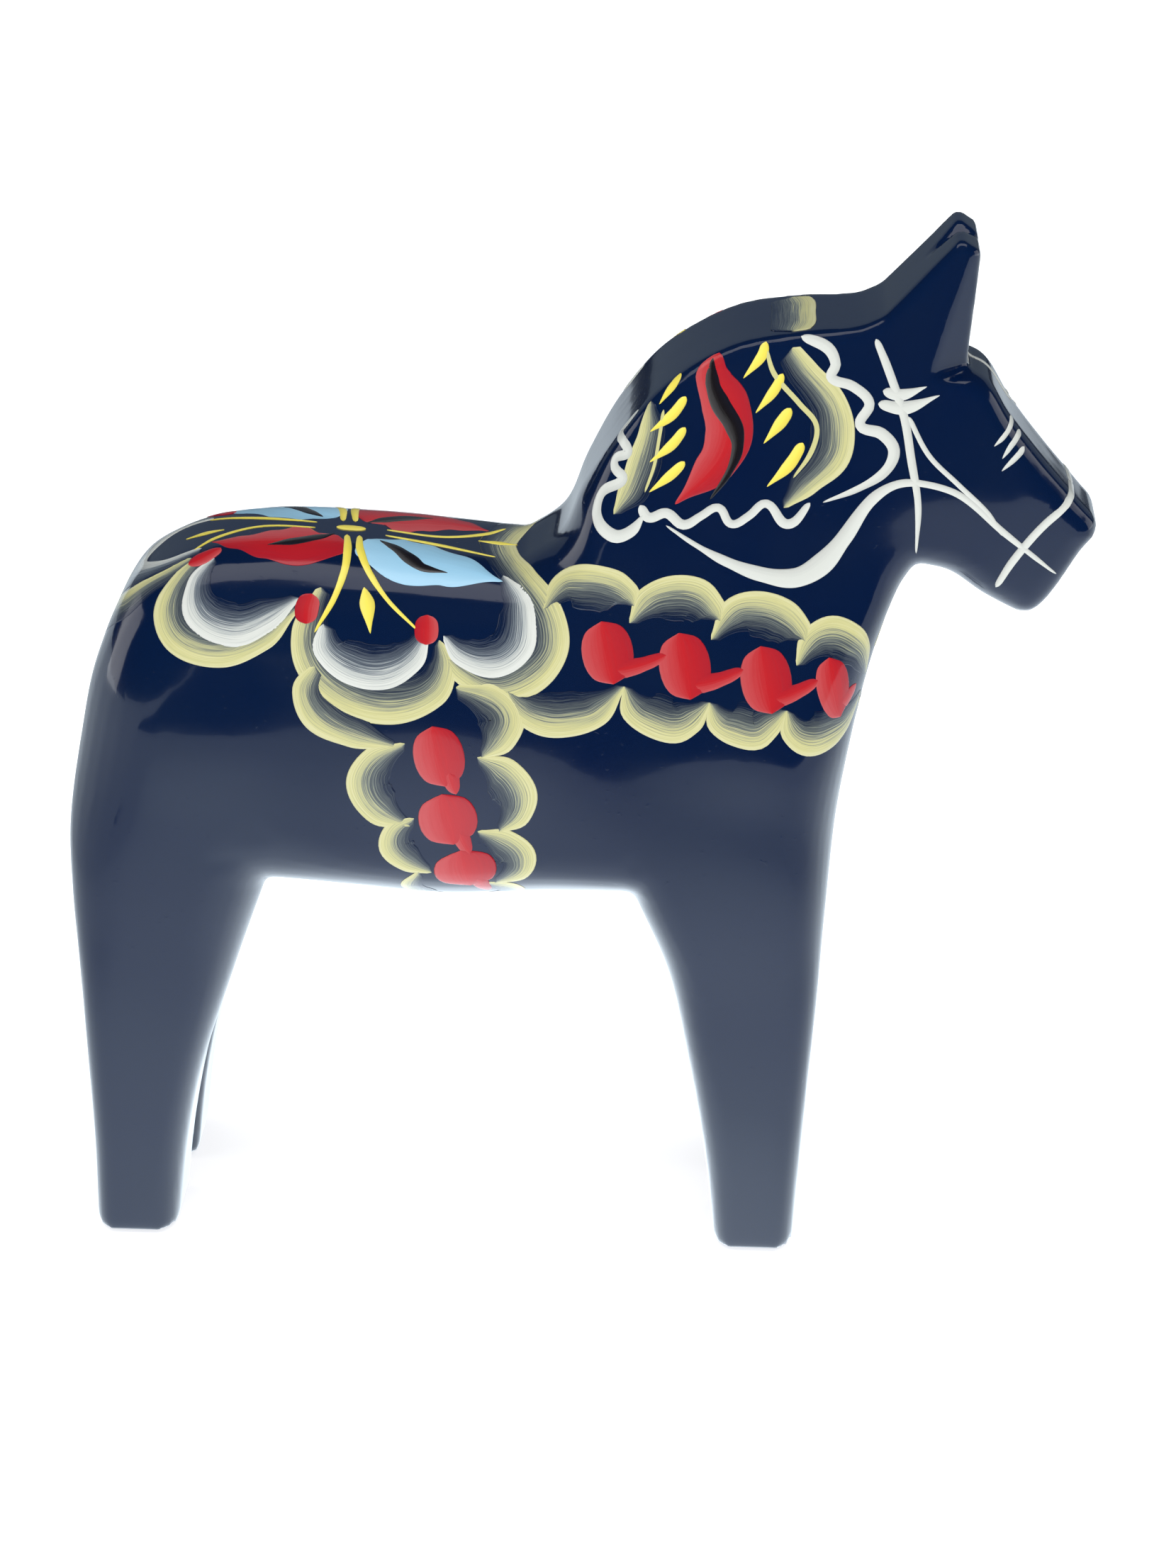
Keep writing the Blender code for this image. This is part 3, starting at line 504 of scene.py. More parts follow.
def landmarks():
    """Places on the side view with the half width, the flat rim's half width and the rounding there."""
    half = WIDTH / 2
    head = HEAD_WIDTH / 2
    muzzle = MUZZLE_WIDTH / 2
    crest = CREST_WIDTH / 2
    ear = EAR_SPAN / 2
    foot = FOOT_SPREAD / 2
    middle = between(LEG_HEIGHT, BACK, 0.5)
    body_rim = SIDE_INNER + BODY_LIP
    head_rim = SIDE_INNER + HEAD_LIP
    leg_rim = foot - LEG_CORNER
    return np.array([
        # x, z, half width, rim half width, rounding
        (RUMP, middle, half - 0.0055, body_rim, 0.0220),
        (RUMP + 0.022, BACK - 0.008, half - 0.0055, body_rim, 0.0210),
        (between(RUMP, WITHERS, 0.45), BACK, half - 0.0020, body_rim, 0.0210),
        (WITHERS - 0.010, BACK, half - 0.0030, body_rim, 0.0170),
        (between(GROIN, ELBOW, 0.5), middle, half, body_rim, 0.0140),
        (between(GROIN, ELBOW, 0.5), LEG_HEIGHT, half - 0.0010, body_rim, 0.0140),
        (between(RUMP, GROIN, 0.55), middle, half - 0.0005, body_rim, 0.0180),
        (between(ELBOW, CHEST, 0.55), middle, half, body_rim, 0.0140),
        (WITHERS + 0.010, BACK + 0.010, half - 0.0060, body_rim, 0.0110),
        (WITHERS + 0.022, BACK + 0.034, half - 0.0110, crest + 0.0030, 0.0060),
        (between(WITHERS, EAR_FRONT, 0.5), CREST, crest + 0.0015, crest - 0.0010, 0.0025),
        (EAR_FRONT - EAR_BASE, CREST, crest - 0.0010, crest - 0.0025, 0.0020),
        (EAR_FRONT - EAR_TIP, EAR_TOP, ear, ear - 0.0012, 0.0014),
        (EAR_FRONT, CREST - 0.010, head + 0.0010, head_rim + 0.0015, 0.0035),
        (between(EAR_FRONT, MUZZLE, 0.45), CREST - 0.030, head + 0.0010, head_rim, 0.0050),
        (MUZZLE - 0.008, CHIN + 0.038, muzzle + 0.0020, head_rim, 0.0035),
        (MUZZLE, CHIN + 0.018, muzzle - 0.0005, head_rim - 0.0005, 0.0035),
        (MUZZLE - 0.017, CHIN, muzzle - 0.0025, head_rim - 0.0005, 0.0040),
        (EAR_FRONT - 0.010, CREST - 0.034, head + 0.0050, head_rim, 0.0060),
        (EAR_FRONT - 0.002, CHIN + 0.010, head + 0.0005, head_rim, 0.0050),
        (CHEST + 0.013, CHIN + 0.0127, head + 0.0035, body_rim, 0.0060),
        (between(WITHERS, CHEST, 0.7), CREST - 0.045, half - 0.0120, body_rim, 0.0080),
        (CHEST + 0.003, between(LEG_HEIGHT, CHIN, 0.8), half - 0.0080, body_rim, 0.0130),
        (CHEST, between(LEG_HEIGHT, CHIN, 0.4), half - 0.0030, body_rim, 0.0130),
        (between(ELBOW, CHEST, 0.5), LEG_HEIGHT + 0.010, half, leg_rim, 0.0080),
        (FORE_TOE, LEG_HEIGHT * 0.5, foot, leg_rim, 0.0060),
        (FORE_HEEL, LEG_HEIGHT * 0.5, foot, leg_rim, 0.0060),
        (between(FORE_HEEL, FORE_TOE, 0.5), 0.0, foot - 0.0005, leg_rim, 0.0050),
        (between(RUMP, GROIN, 0.5), LEG_HEIGHT + 0.010, half - 0.0018, leg_rim, 0.0140),
        (HIND_TOE, LEG_HEIGHT * 0.5, foot, leg_rim, 0.0060),
        (HIND_HEEL, LEG_HEIGHT * 0.5, foot, leg_rim, 0.0070),
        (between(HIND_HEEL, HIND_TOE, 0.5), 0.0, foot - 0.0005, leg_rim, 0.0050),
    ])


def shape_at(points):
    """Half width, rim half width and rounding at each (x, z), blended smoothly from the landmarks."""
    marks = landmarks()
    offsets = points[:, None, :] - marks[None, :, :2]
    weights = ((offsets ** 2).sum(axis=2) + BLEND_SOFTNESS ** 2) ** -2
    weights /= weights.sum(axis=1, keepdims=True)
    half_width, rim, rounding = (weights @ marks[:, 2:]).T
    return half_width, rim, rounding


def distance_to_outline(points, outline):
    """How far each (x, z) lies from the nearest edge of the outline that isn't a foot's sole."""
    ends = np.roll(outline, -1, axis=0)
    carved = (outline[:, 1] != 0.0) | (ends[:, 1] != 0.0)
    starts = outline[carved]
    edges = ends[carved] - starts
    lengths = (edges ** 2).sum(axis=1)
    distances = []
    for block in np.array_split(points, len(points) // POINT_BLOCK + 1):
        offsets = block[:, None, :] - starts[None, :, :]
        shares = np.clip((offsets * edges).sum(axis=2) / lengths, 0.0, 1.0)
        nearest = offsets - shares[:, :, None] * edges
        distances.append(np.sqrt((nearest ** 2).sum(axis=2)).min(axis=1))
    return np.concatenate(distances)


def is_inside(points, outline):
    """Whether each (x, z) lies inside the outline."""
    ends = np.roll(outline, -1, axis=0)
    x = points[:, 0, None]
    z = points[:, 1, None]
    straddles = (outline[:, 1] > z) != (ends[:, 1] > z)
    rise = np.where(ends[:, 1] == outline[:, 1], 1.0, ends[:, 1] - outline[:, 1])
    crossing = outline[:, 0] + (z - outline[:, 1]) * (ends[:, 0] - outline[:, 0]) / rise
    return (straddles & (x < crossing)).sum(axis=1) % 2 == 1


def inward_directions(outline):
    """A unit vector at each outline point that points into the horse."""
    along = np.roll(outline, -1, axis=0) - np.roll(outline, 1, axis=0)
    inward = np.stack([-along[:, 1], along[:, 0]], axis=1)
    return inward / np.linalg.norm(inward, axis=1, keepdims=True)


def rounding_rings(outline):
    """Points at set turns of the rounding that runs in from the outline."""
    inward = inward_directions(outline)
    rounding = shape_at(outline)[2]
    rings = []
    for turn in ROUNDING_TURNS:
        depth = rounding * (1.0 - np.cos(np.radians(turn)))
        ring = outline + inward * depth[:, None]
        clear = (distance_to_outline(ring, outline) > depth * 0.97) & (ring[:, 1] > SOLE_STEP)
        rings.append(ring[clear])
    return np.vstack(rings)


def inner_grid(outline):
    """Evenly spread points on the flat of the side, clear of the rounding."""
    low = outline.min(axis=0)
    high = outline.max(axis=0)
    rows = np.arange(low[1], high[1], INNER_STEP * 0.87)
    grid = []
    for row, z in enumerate(rows):
        shift = INNER_STEP / 2 * (row % 2)
        for x in np.arange(low[0] + shift, high[0], INNER_STEP):
            grid.append((x, z))
    grid = np.array(grid)
    clear = distance_to_outline(grid, outline) > shape_at(grid)[2] + INNER_STEP * 0.45
    off_the_sole = grid[:, 1] > low[1]
    return grid[clear & off_the_sole & is_inside(grid, outline)]


def rounded(share):
    """The rise of a quarter round after this share of its run."""
    left = 1.0 - np.clip(share, 0.0, 1.0)
    return np.sqrt(1.0 - left * left)


def outer_height(points, outline):
    """How far out the carved surface stands at each (x, z)."""
    half_width, rim, rounding = shape_at(points)
    rise = rounded(distance_to_outline(points, outline) / rounding)
    return rim + (half_width - rim) * rise


def inner_height(points, outline):
    """The side board's inner face: flat against the core, with rounded edges on the bare legs."""
    rise = rounded(distance_to_outline(points, outline) / LEG_INNER_ROUND)
    bare = np.clip((LEG_HEIGHT - points[:, 1]) / LEG_INNER_ROUND, 0.0, 1.0)
    return SIDE_INNER + LEG_INNER_ROUND * (1.0 - rise) * bare


def triangulate(outline, loose_points):
    """Triangles over the inside of the outline, through its points and the loose ones."""
    points = [Vector(point) for point in np.vstack([outline, loose_points])]
    ring = list(range(len(outline)))
    vertices, _, faces, origins, _, _ = delaunay_2d_cdt(points, [], [ring], 1, 1e-6)
    rim = [0] * len(ring)
    for index, sources in enumerate(origins):
        for source in sources:
            if source < len(ring):
                rim[source] = index
    return np.array([tuple(vertex) for vertex in vertices]), faces, rim


def solid_between(name, near, far, faces, rim):
    """A closed mesh from two matching sheets of points, joined round their rim."""
    count = len(near)
    shell = [tuple(reversed(face)) for face in faces]
    shell += [tuple(index + count for index in face) for face in faces]
    for index, following in zip(rim, rim[1:] + rim[:1]):
        shell.append((index, following, following + count, index + count))
    mesh = bpy.data.meshes.new(name)
    mesh.from_pydata([tuple(point) for point in np.vstack([near, far])], [], shell)
    return mesh


def side_board_mesh(side):
    """One whole carved side board, with its legs."""
    outline = side_outline(OUTLINE_STEP)
    loose = np.vstack([rounding_rings(outline), inner_grid(outline)])
    flat, faces, rim = triangulate(outline, loose)
    inner = np.stack([flat[:, 0], side * inner_height(flat, outline), flat[:, 1]], axis=1)
    outer = np.stack([flat[:, 0], side * outer_height(flat, outline), flat[:, 1]], axis=1)
    if side > 0:
        return solid_between("side_board", inner, outer, [face[::-1] for face in faces], rim[::-1])
    return solid_between("side_board", inner, outer, faces, rim)


def core_board_mesh():
    """The whole core board, still with legs that the leg gap takes away."""
    outline = side_outline(OUTLINE_STEP)
    flat, faces, rim = triangulate(outline, np.empty((0, 2)))
    far = np.stack([flat[:, 0], np.full(len(flat), CORE_HALF), flat[:, 1]], axis=1)
    return solid_between("core_board", far, far * (1.0, -1.0, 1.0), faces, rim)


def as_cutter(thing):
    """Marks an object as a tool that shapes others and isn't part of the horse."""
    thing.hide_render = True
    thing.display_type = "WIRE"
    return thing


def prism_mesh(name, profile, half_depth):
    """A closed prism with an anticlockwise (x, z) profile, half of its depth on each side of Y zero."""
    flat, faces, rim = triangulate(np.array(profile), np.empty((0, 2)))
    far = np.stack([flat[:, 0], np.full(len(flat), half_depth), flat[:, 1]], axis=1)
    return solid_between(name, far, far * (1.0, -1.0, 1.0), faces, rim)


def leg_gap_cutter():
    """The space under the core board, up to the belly line."""
    belly = [tuple(point) for point in smooth_run(core_bottom_run(), OUTLINE_STEP)]
    belly.append(core_bottom_run()[-1])
    front = MUZZLE + NECK_BASE
    rear = RUMP - NECK_BASE
    profile = [(rear, -LEG_HEIGHT), (front, -LEG_HEIGHT), (front, belly[-1][1])]
    profile += belly[::-1] + [(rear, belly[0][1])]
    return as_cutter(add_object("leg_gap_cutter", prism_mesh("leg_gap_cutter", profile, WIDTH)))


def box_cutter(name, corner, spans):
    """A slanted box from one corner along three directions, which needn't be square to each other."""
    along, across, up = (Vector(span) for span in spans)
    points = []
    for height in (0.0, 1.0):
        for side, forward in ((0.0, 0.0), (0.0, 1.0), (1.0, 1.0), (1.0, 0.0)):
            points.append(Vector(corner) + along * forward + across * side + up * height)
    faces = [(3, 2, 1, 0), (4, 5, 6, 7), (0, 1, 5, 4), (1, 2, 6, 5), (2, 3, 7, 6), (3, 0, 4, 7)]
    if along.cross(across).dot(up) < 0.0:
        faces = [face[::-1] for face in faces]
    mesh = bpy.data.meshes.new(name)
    mesh.from_pydata([tuple(point) for point in points], [], faces)
    return as_cutter(add_object(name, mesh))


def ear_notch_cutter():
    """A wedge down the back of the ears that parts their tips and runs out before the poll."""
    front = Vector((EAR_FRONT + EAR_TIP, 0.0, EAR_TOP - EAR_NOTCH_DEPTH))
    tip = Vector((EAR_FRONT - EAR_TIP, 0.0, EAR_TOP))
    down_the_back = Vector((POLL[0], 0.0, POLL[1])) - tip
    run_out = tip + down_the_back.normalized() * EAR_NOTCH_RUN
    tip.z -= EAR_NOTCH_DEPTH
    past_run_out = tip + (run_out - tip) * 2.0
    half = EAR_NOTCH_WIDTH / 2 / EAR_NOTCH_DEPTH * EAR_RISE
    points = []
    for keel in (front, tip, past_run_out):
        points += [keel, keel + Vector((0.0, half, EAR_RISE)), keel + Vector((0.0, -half, EAR_RISE))]
    faces = [(0, 1, 2), (8, 7, 6)]
    for first in (0, 3):
        for side, following in ((0, 1), (1, 2), (2, 0)):
            faces.append((first + side, first + side + 3, first + following + 3, first + following))
    mesh = bpy.data.meshes.new("ear_notch_cutter")
    mesh.from_pydata([tuple(point) for point in points], [], faces)
    return as_cutter(add_object("ear_notch_cutter", mesh))


def ear_facet_cutter(name, side):
    """A slanted block that planes the outer front edge of an ear down to a ledge at the forehead."""
    ear = EAR_SPAN / 2
    base_rear = Vector((EAR_FRONT - 0.002 - EAR_FACET_WIDTH, side * (ear + 0.0020), CREST - 0.0115))
    base_front = Vector((EAR_FRONT - 0.002, side * (ear + 0.0020 - EAR_FACET_DEPTH), CREST - 0.0100))
    tip = Vector((EAR_FRONT - 0.0015, side * (ear - 0.0005), EAR_TOP - 0.0030))
    along = (base_front - base_rear) * 3.0
    up = (tip - base_rear) * 1.5
    out = along.cross(up).normalized() * (-side * WIDTH)
    return box_cutter(name, base_rear - along / 3.0, (along, out, up))


def add_object(name, mesh, material=None):
    """An object with this mesh at the origin."""
    thing = bpy.data.objects.new(name, mesh)
    bpy.context.scene.collection.objects.link(thing)
    if material is not None:
        mesh.materials.clear()
        mesh.materials.append(material)
    return thing


def solid_copy(thing):
    """The mesh that an object's modifiers give, as a mesh of its own."""
    depsgraph = bpy.context.evaluated_depsgraph_get()
    return bpy.data.meshes.new_from_object(thing.evaluated_get(depsgraph))


def cut_mesh(name, mesh, cutters):
    """A mesh with the cutters taken away."""
    thing = add_object(name, mesh)
    for cutter in cutters:
        modifier = thing.modifiers.new(cutter.name, "BOOLEAN")
        modifier.operation = "DIFFERENCE"
        modifier.object = cutter
        modifier.solver = "EXACT"
    cut = solid_copy(thing)
    bpy.data.objects.remove(thing)
    return cut


def joined_meshes(name, meshes):
    """One mesh of several, left as separate shells."""
    together = bmesh.new()
    for mesh in meshes:
        together.from_mesh(mesh)
    joined = bpy.data.meshes.new(name)
    together.to_mesh(joined)
    together.free()
    return joined


def carved_waves(coat):
    """Moves the coat's surface in and out by a hair, as a knife leaves it under the paint."""
    mesh = coat.data
    count = len(mesh.vertices)
    places = np.empty(count * 3)
    mesh.vertices.foreach_get("co", places)
    places = places.reshape(-1, 3)
    normals = np.empty(count * 3)
    mesh.vertex_normals.foreach_get("vector", normals)
    normals = normals.reshape(-1, 3)
    for index, place in enumerate(places):
        calm = min(1.0, place[2] / CARVING_CALM)
        wave = noise.noise(Vector(place) / CARVING_LENGTH) * CARVING_DEPTH
        places[index] += normals[index] * (wave - CARVING_DEPTH) * calm
    mesh.vertices.foreach_set("co", places.ravel())
    mesh.update()


def navy_coat(material):
    """The whole painted skin of the horse, over the joints between its boards."""
    notch = ear_notch_cutter()
    leg_gap = leg_gap_cutter()
    boards = []
    facets = []
    for side, hand in ((-1.0, "right"), (1.0, "left")):
        facet = ear_facet_cutter(hand + "_ear_facet_cutter", side)
        facets.append(facet)
        boards.append(cut_mesh(hand + "_board", side_board_mesh(side), (notch, facet)))
    boards.append(cut_mesh("core_board", core_board_mesh(), (leg_gap, notch)))
    coat = add_object("navy_coat", joined_meshes("navy_coat", boards))
    for cutter in (notch, leg_gap, *facets):
        bpy.data.objects.remove(cutter)
    remesh = coat.modifiers.new("one_skin", "REMESH")
    remesh.mode = "VOXEL"
    remesh.voxel_size = COAT_VOXEL
    remesh.use_smooth_shade = True
    soften = coat.modifiers.new("soft_edges", "SMOOTH")
    soften.factor = 0.5
    soften.iterations = COAT_SOFTENING
    skin = solid_copy(coat)
    coat.modifiers.clear()
    coat.data = skin
    skin.materials.clear()
    skin.materials.append(material)
    skin.shade_smooth()
    carved_waves(coat)
    return coat


def linear(red, green, blue):
    """A colour mixed on the 0 to 255 scale, as the light it gives back."""
    shares = np.array([red, green, blue]) / 255.0
    light = np.where(shares <= 0.04045, shares / 12.92, ((shares + 0.055) / 1.055) ** 2.4)
    return (*light, 1.0)


NAVY = linear(5, 24, 54)
NAVY_DEEP = linear(2, 20, 54)
CREAM = linear(196, 193, 134)
WHITE = linear(204, 207, 200)
RED = linear(180, 24, 32)
BLUE = linear(150, 198, 224)
YELLOW = linear(235, 218, 84)
BLACK = linear(22, 18, 20)
THIN_PAINT = linear(96, 112, 126)
PURE_WHITE = (1.0, 1.0, 1.0, 1.0)
BEECH_DARK = linear(170, 125, 80)
BEECH_PALE = linear(214, 176, 128)


def add_node(tree, kind, inputs=None, **settings):
    """A node with its settings and inputs; an input may be a value or another node's output."""
    node = tree.nodes.new(kind)
    for name, value in settings.items():
        setattr(node, name, value)
    for key, value in (inputs or {}).items():
        socket = node.inputs[key]
        if isinstance(value, bpy.types.NodeSocket):
            tree.links.new(value, socket)
        else:
            socket.default_value = value
    return node


def maths(tree, operation, first, second=0.0, third=0.0):
    """The output of a Math node."""
    return add_node(tree, "ShaderNodeMath", {0: first, 1: second, 2: third}, operation=operation).outputs[0]


def vector_maths(tree, operation, inputs):
    """A Vector Math node."""
    return add_node(tree, "ShaderNodeVectorMath", inputs, operation=operation)


def as_vector(tree, x=0.0, y=0.0, z=0.0):
    """Three values as one vector."""
    return add_node(tree, "ShaderNodeCombineXYZ", {"X": x, "Y": y, "Z": z}).outputs["Vector"]


def noise_at(tree, place, scale, detail=2.0, roughness=0.5):
    """Noise at a place, about 0.5."""
    inputs = {"Vector": place, "Scale": scale, "Detail": detail, "Roughness": roughness}
    return add_node(tree, "ShaderNodeTexNoise", inputs).outputs["Fac"]


def object_place(tree):
    """The horse's own coordinates."""
    return add_node(tree, "ShaderNodeTexCoord").outputs["Object"]


def remap(tree, value, low, high, new_low, new_high):
    """A value carried from one range to another, and held at its ends."""
    inputs = {"Value": value, "From Min": low, "From Max": high, "To Min": new_low, "To Max": new_high}
    return add_node(tree, "ShaderNodeMapRange", inputs).outputs["Result"]


def ramp(tree, factor, stops):
    """A Color Ramp through (place, colour) stops."""
    node = add_node(tree, "ShaderNodeValToRGB", {"Fac": factor})
    elements = node.color_ramp.elements
    while len(elements) < len(stops):
        elements.new(0.5)
    for element, (place, colour) in zip(elements, stops):
        element.position = place
        element.color = colour
    return node.outputs["Color"]


def new_material(name):
    """A node material, its tree and its shader."""
    material = bpy.data.materials.new(name)
    material.use_nodes = True
    return material, material.node_tree, material.node_tree.nodes["Principled BSDF"]


def set_values(shader, values):
    """Sets a shader's inputs by their names."""
    for name, value in values.items():
        shader.inputs[name].default_value = value


def gloss(tree, shader, colour, height, height_depth, roughness):
    """The shared enamel finish: a colour, its bump and a thin clear coat."""
    bump = add_node(tree, "ShaderNodeBump", {"Strength": 1.0, "Distance": height_depth, "Height": height})
    tree.links.new(colour, shader.inputs["Base Color"])
    tree.links.new(roughness, shader.inputs["Roughness"])
    tree.links.new(bump.outputs["Normal"], shader.inputs["Normal"])
    set_values(shader, {"IOR": ENAMEL_IOR, "Coat Weight": VARNISH_WEIGHT,
                        "Coat Roughness": VARNISH_ROUGHNESS, "Coat IOR": VARNISH_IOR})


def navy_enamel():
    """Navy enamel brushed on by hand: faint orange peel, dust nibs and slow changes of depth."""
    material, tree, shader = new_material("navy_enamel")
    place = object_place(tree)
    colour = ramp(tree, noise_at(tree, place, DEPTH_SCALE, 3.0), ((0.30, NAVY_DEEP), (0.70, NAVY)))
    peel = maths(tree, "MULTIPLY", noise_at(tree, place, PEEL_SCALE), PEEL_SHARE)
    swell = maths(tree, "MULTIPLY", noise_at(tree, place, SWELL_SCALE), SWELL_SHARE)
    nibs = remap(tree, noise_at(tree, place, NIB_SCALE, 0.0), 0.80, 0.86, 0.0, 1.0)
    height = maths(tree, "ADD", maths(tree, "ADD", peel, swell), maths(tree, "MULTIPLY", nibs, NIB_SHARE))
    roughness = remap(tree, noise_at(tree, place, SHEEN_SCALE, 3.0), 0.3, 0.7, *ENAMEL_ROUGHNESS)
    gloss(tree, shader, colour, height, ENAMEL_RELIEF, roughness)
    return material


def brushed_paint(name, stops, wander, bristles, relief):
    """Paint laid by a brush: colour by the place across the stroke, broken into streaks along it."""
    material, tree, shader = new_material(name)
    uv = add_node(tree, "ShaderNodeUVMap", uv_map="UVMap").outputs["UV"]
    split = add_node(tree, "ShaderNodeSeparateXYZ", {"Vector": uv}).outputs
    streak_place = as_vector(tree, maths(tree, "MULTIPLY", split["X"], STREAK_SHORTNESS),
                             maths(tree, "MULTIPLY", split["Y"], bristles))
    streaks = noise_at(tree, streak_place, 1.0, 4.0, 0.65)
    load = maths(tree, "MULTIPLY_ADD", maths(tree, "SUBTRACT", streaks, 0.5), wander, split["Y"])
    roughness = remap(tree, streaks, 0.3, 0.7, *BRUSHED_ROUGHNESS)
    gloss(tree, shader, ramp(tree, load, stops), streaks, relief, roughness)
    return material


def mixed_colour(first, second, share):
    """A colour part of the way from the first to the second."""
    return tuple(between(a, b, share) for a, b in zip(first[:3], second[:3])) + (1.0,)


def fading(paint):
    """Colour stops that run from the full paint to the navy under it."""
    thin = mixed_colour(paint, THIN_PAINT, 0.75)
    return ((0.02, mixed_colour(paint, PURE_WHITE, 0.10)), (0.16, paint),
            (0.34, mixed_colour(paint, thin, 0.5)), (0.48, mixed_colour(thin, NAVY, 0.35)),
            (0.64, mixed_colour(thin, NAVY, 0.72)), (0.92, NAVY))


def streaked(paint):
    """Colour stops for a stroke that covers fully, a little thinner along one edge."""
    return (0.0, mixed_colour(paint, PURE_WHITE, 0.06)), (0.5, paint), (1.0, mixed_colour(paint, NAVY, 0.22))


def brushed_paints():
    """Every paint that the brush lays, by its name."""
    mixes = {
        # colour stops, wander of the streaks, bristles across the stroke, relief
        "cream_brushed": (fading(CREAM), 1.2, 34.0, 0.00006),
        "white_brushed": (fading(WHITE), 1.2, 34.0, 0.00006),
        "cream_solid": (((0.0, CREAM), (1.0, CREAM)), 0.4, 9.0, 0.00005),
        "white_solid": (streaked(WHITE), 0.5, 9.0, 0.00005),
        "red_brushed": (streaked(RED), 0.5, 14.0, 0.00005),
        "blue_brushed": (streaked(BLUE), 0.5, 14.0, 0.00004),
        "yellow_brushed": (streaked(YELLOW), 0.5, 7.0, 0.00005),
        "black_brushed": (streaked(BLACK), 0.5, 7.0, 0.00004),
    }
    return {name: brushed_paint(name, *mix) for name, mix in mixes.items()}


def beech_pegs():
    """Pale beech with fine lines along the dowel, for the pegs inside."""
    material, tree, shader = new_material("beech_peg")
    stretched = add_node(tree, "ShaderNodeMapping", {"Vector": object_place(tree), "Scale": GRAIN_STRETCH})
    grain = noise_at(tree, stretched.outputs["Vector"], GRAIN_SCALE, 4.0)
    bump = add_node(tree, "ShaderNodeBump", {"Distance": GRAIN_RELIEF, "Height": grain})
    tree.links.new(ramp(tree, grain, ((0.35, BEECH_DARK), (0.65, BEECH_PALE))), shader.inputs["Base Color"])
    tree.links.new(bump.outputs["Normal"], shader.inputs["Normal"])
    set_values(shader, {"Roughness": 0.62})
    return material


def brush_inputs(tree):
    """The brush's inputs and its output, with the sizes that most strokes share."""
    sockets = tree.interface
    sockets.new_socket("Strokes", in_out="INPUT", socket_type="NodeSocketGeometry")
    sockets.new_socket("Coat", in_out="INPUT", socket_type="NodeSocketObject")
    for name, value in BRUSH_SIZES.items():
        sockets.new_socket(name, in_out="INPUT", socket_type="NodeSocketFloat").default_value = value
    sides = sockets.new_socket("Points around", in_out="INPUT", socket_type="NodeSocketInt")
    sides.default_value = RING_POINTS
    sockets.new_socket("Paint", in_out="INPUT", socket_type="NodeSocketMaterial")
    sockets.new_socket("Film", in_out="OUTPUT", socket_type="NodeSocketGeometry")
    return tree.nodes.new("NodeGroupInput").outputs


def carry(tree, geometry, **values):
    """The geometry with these values, given as (kind, output), kept on its points."""
    node = tree.nodes.new("GeometryNodeCaptureAttribute")
    node.domain = "POINT"
    for name, (kind, _) in values.items():
        node.capture_items.new(kind, name)
    tree.links.new(geometry, node.inputs["Geometry"])
    for name, (_, value) in values.items():
        tree.links.new(value, node.inputs[name])
    return node.outputs


def nearest_value(tree, mesh, value):
    """A vector read from the nearest place on a mesh."""
    return add_node(tree, "GeometryNodeSampleNearestSurface", {"Mesh": mesh, "Value": value},
                    data_type="FLOAT_VECTOR").outputs["Value"]


def stroke_swell(tree, given, along):
    """How wide a stroke is against its drawn width: round at both ends, and spread as it is told."""
    length = add_node(tree, "GeometryNodeSplineLength").outputs["Length"]
    nearer = maths(tree, "MINIMUM", along, maths(tree, "SUBTRACT", length, along))
    share = maths(tree, "MINIMUM", maths(tree, "DIVIDE", nearer, given["End roundness"]), 1.0)
    left = maths(tree, "SUBTRACT", 1.0, share)
    swell = maths(tree, "SQRT", maths(tree, "SUBTRACT", 1.0, maths(tree, "MULTIPLY", left, left)))
    return maths(tree, "MULTIPLY", maths(tree, "MAXIMUM", swell, END_SWELL), given["Spread"])


def stroke_tube(tree, given, strokes, radius, here):
    """A flat tube along the strokes, and the place round the ring that each of its points had."""
    ring = add_node(tree, "GeometryNodeCurvePrimitiveCircle", {
        "Resolution": given["Points around"], "Radius": 1.0}).outputs["Curve"]
    ring = carry(tree, ring, ring=("VECTOR", here))
    lean = as_vector(tree, y=maths(tree, "MULTIPLY", given["Lean"], ACROSS_SIGN))
    flat = add_node(tree, "GeometryNodeTransform", {
        "Geometry": ring["Geometry"], "Translation": lean,
        "Scale": (RING_FLATNESS, 1.0, 1.0)}).outputs["Geometry"]
    tube = add_node(tree, "GeometryNodeCurveToMesh", {
        "Curve": strokes, "Profile Curve": flat, "Scale": radius, "Fill Caps": True}).outputs["Mesh"]
    return tube, add_node(tree, "ShaderNodeSeparateXYZ", {"Vector": ring["ring"]}).outputs


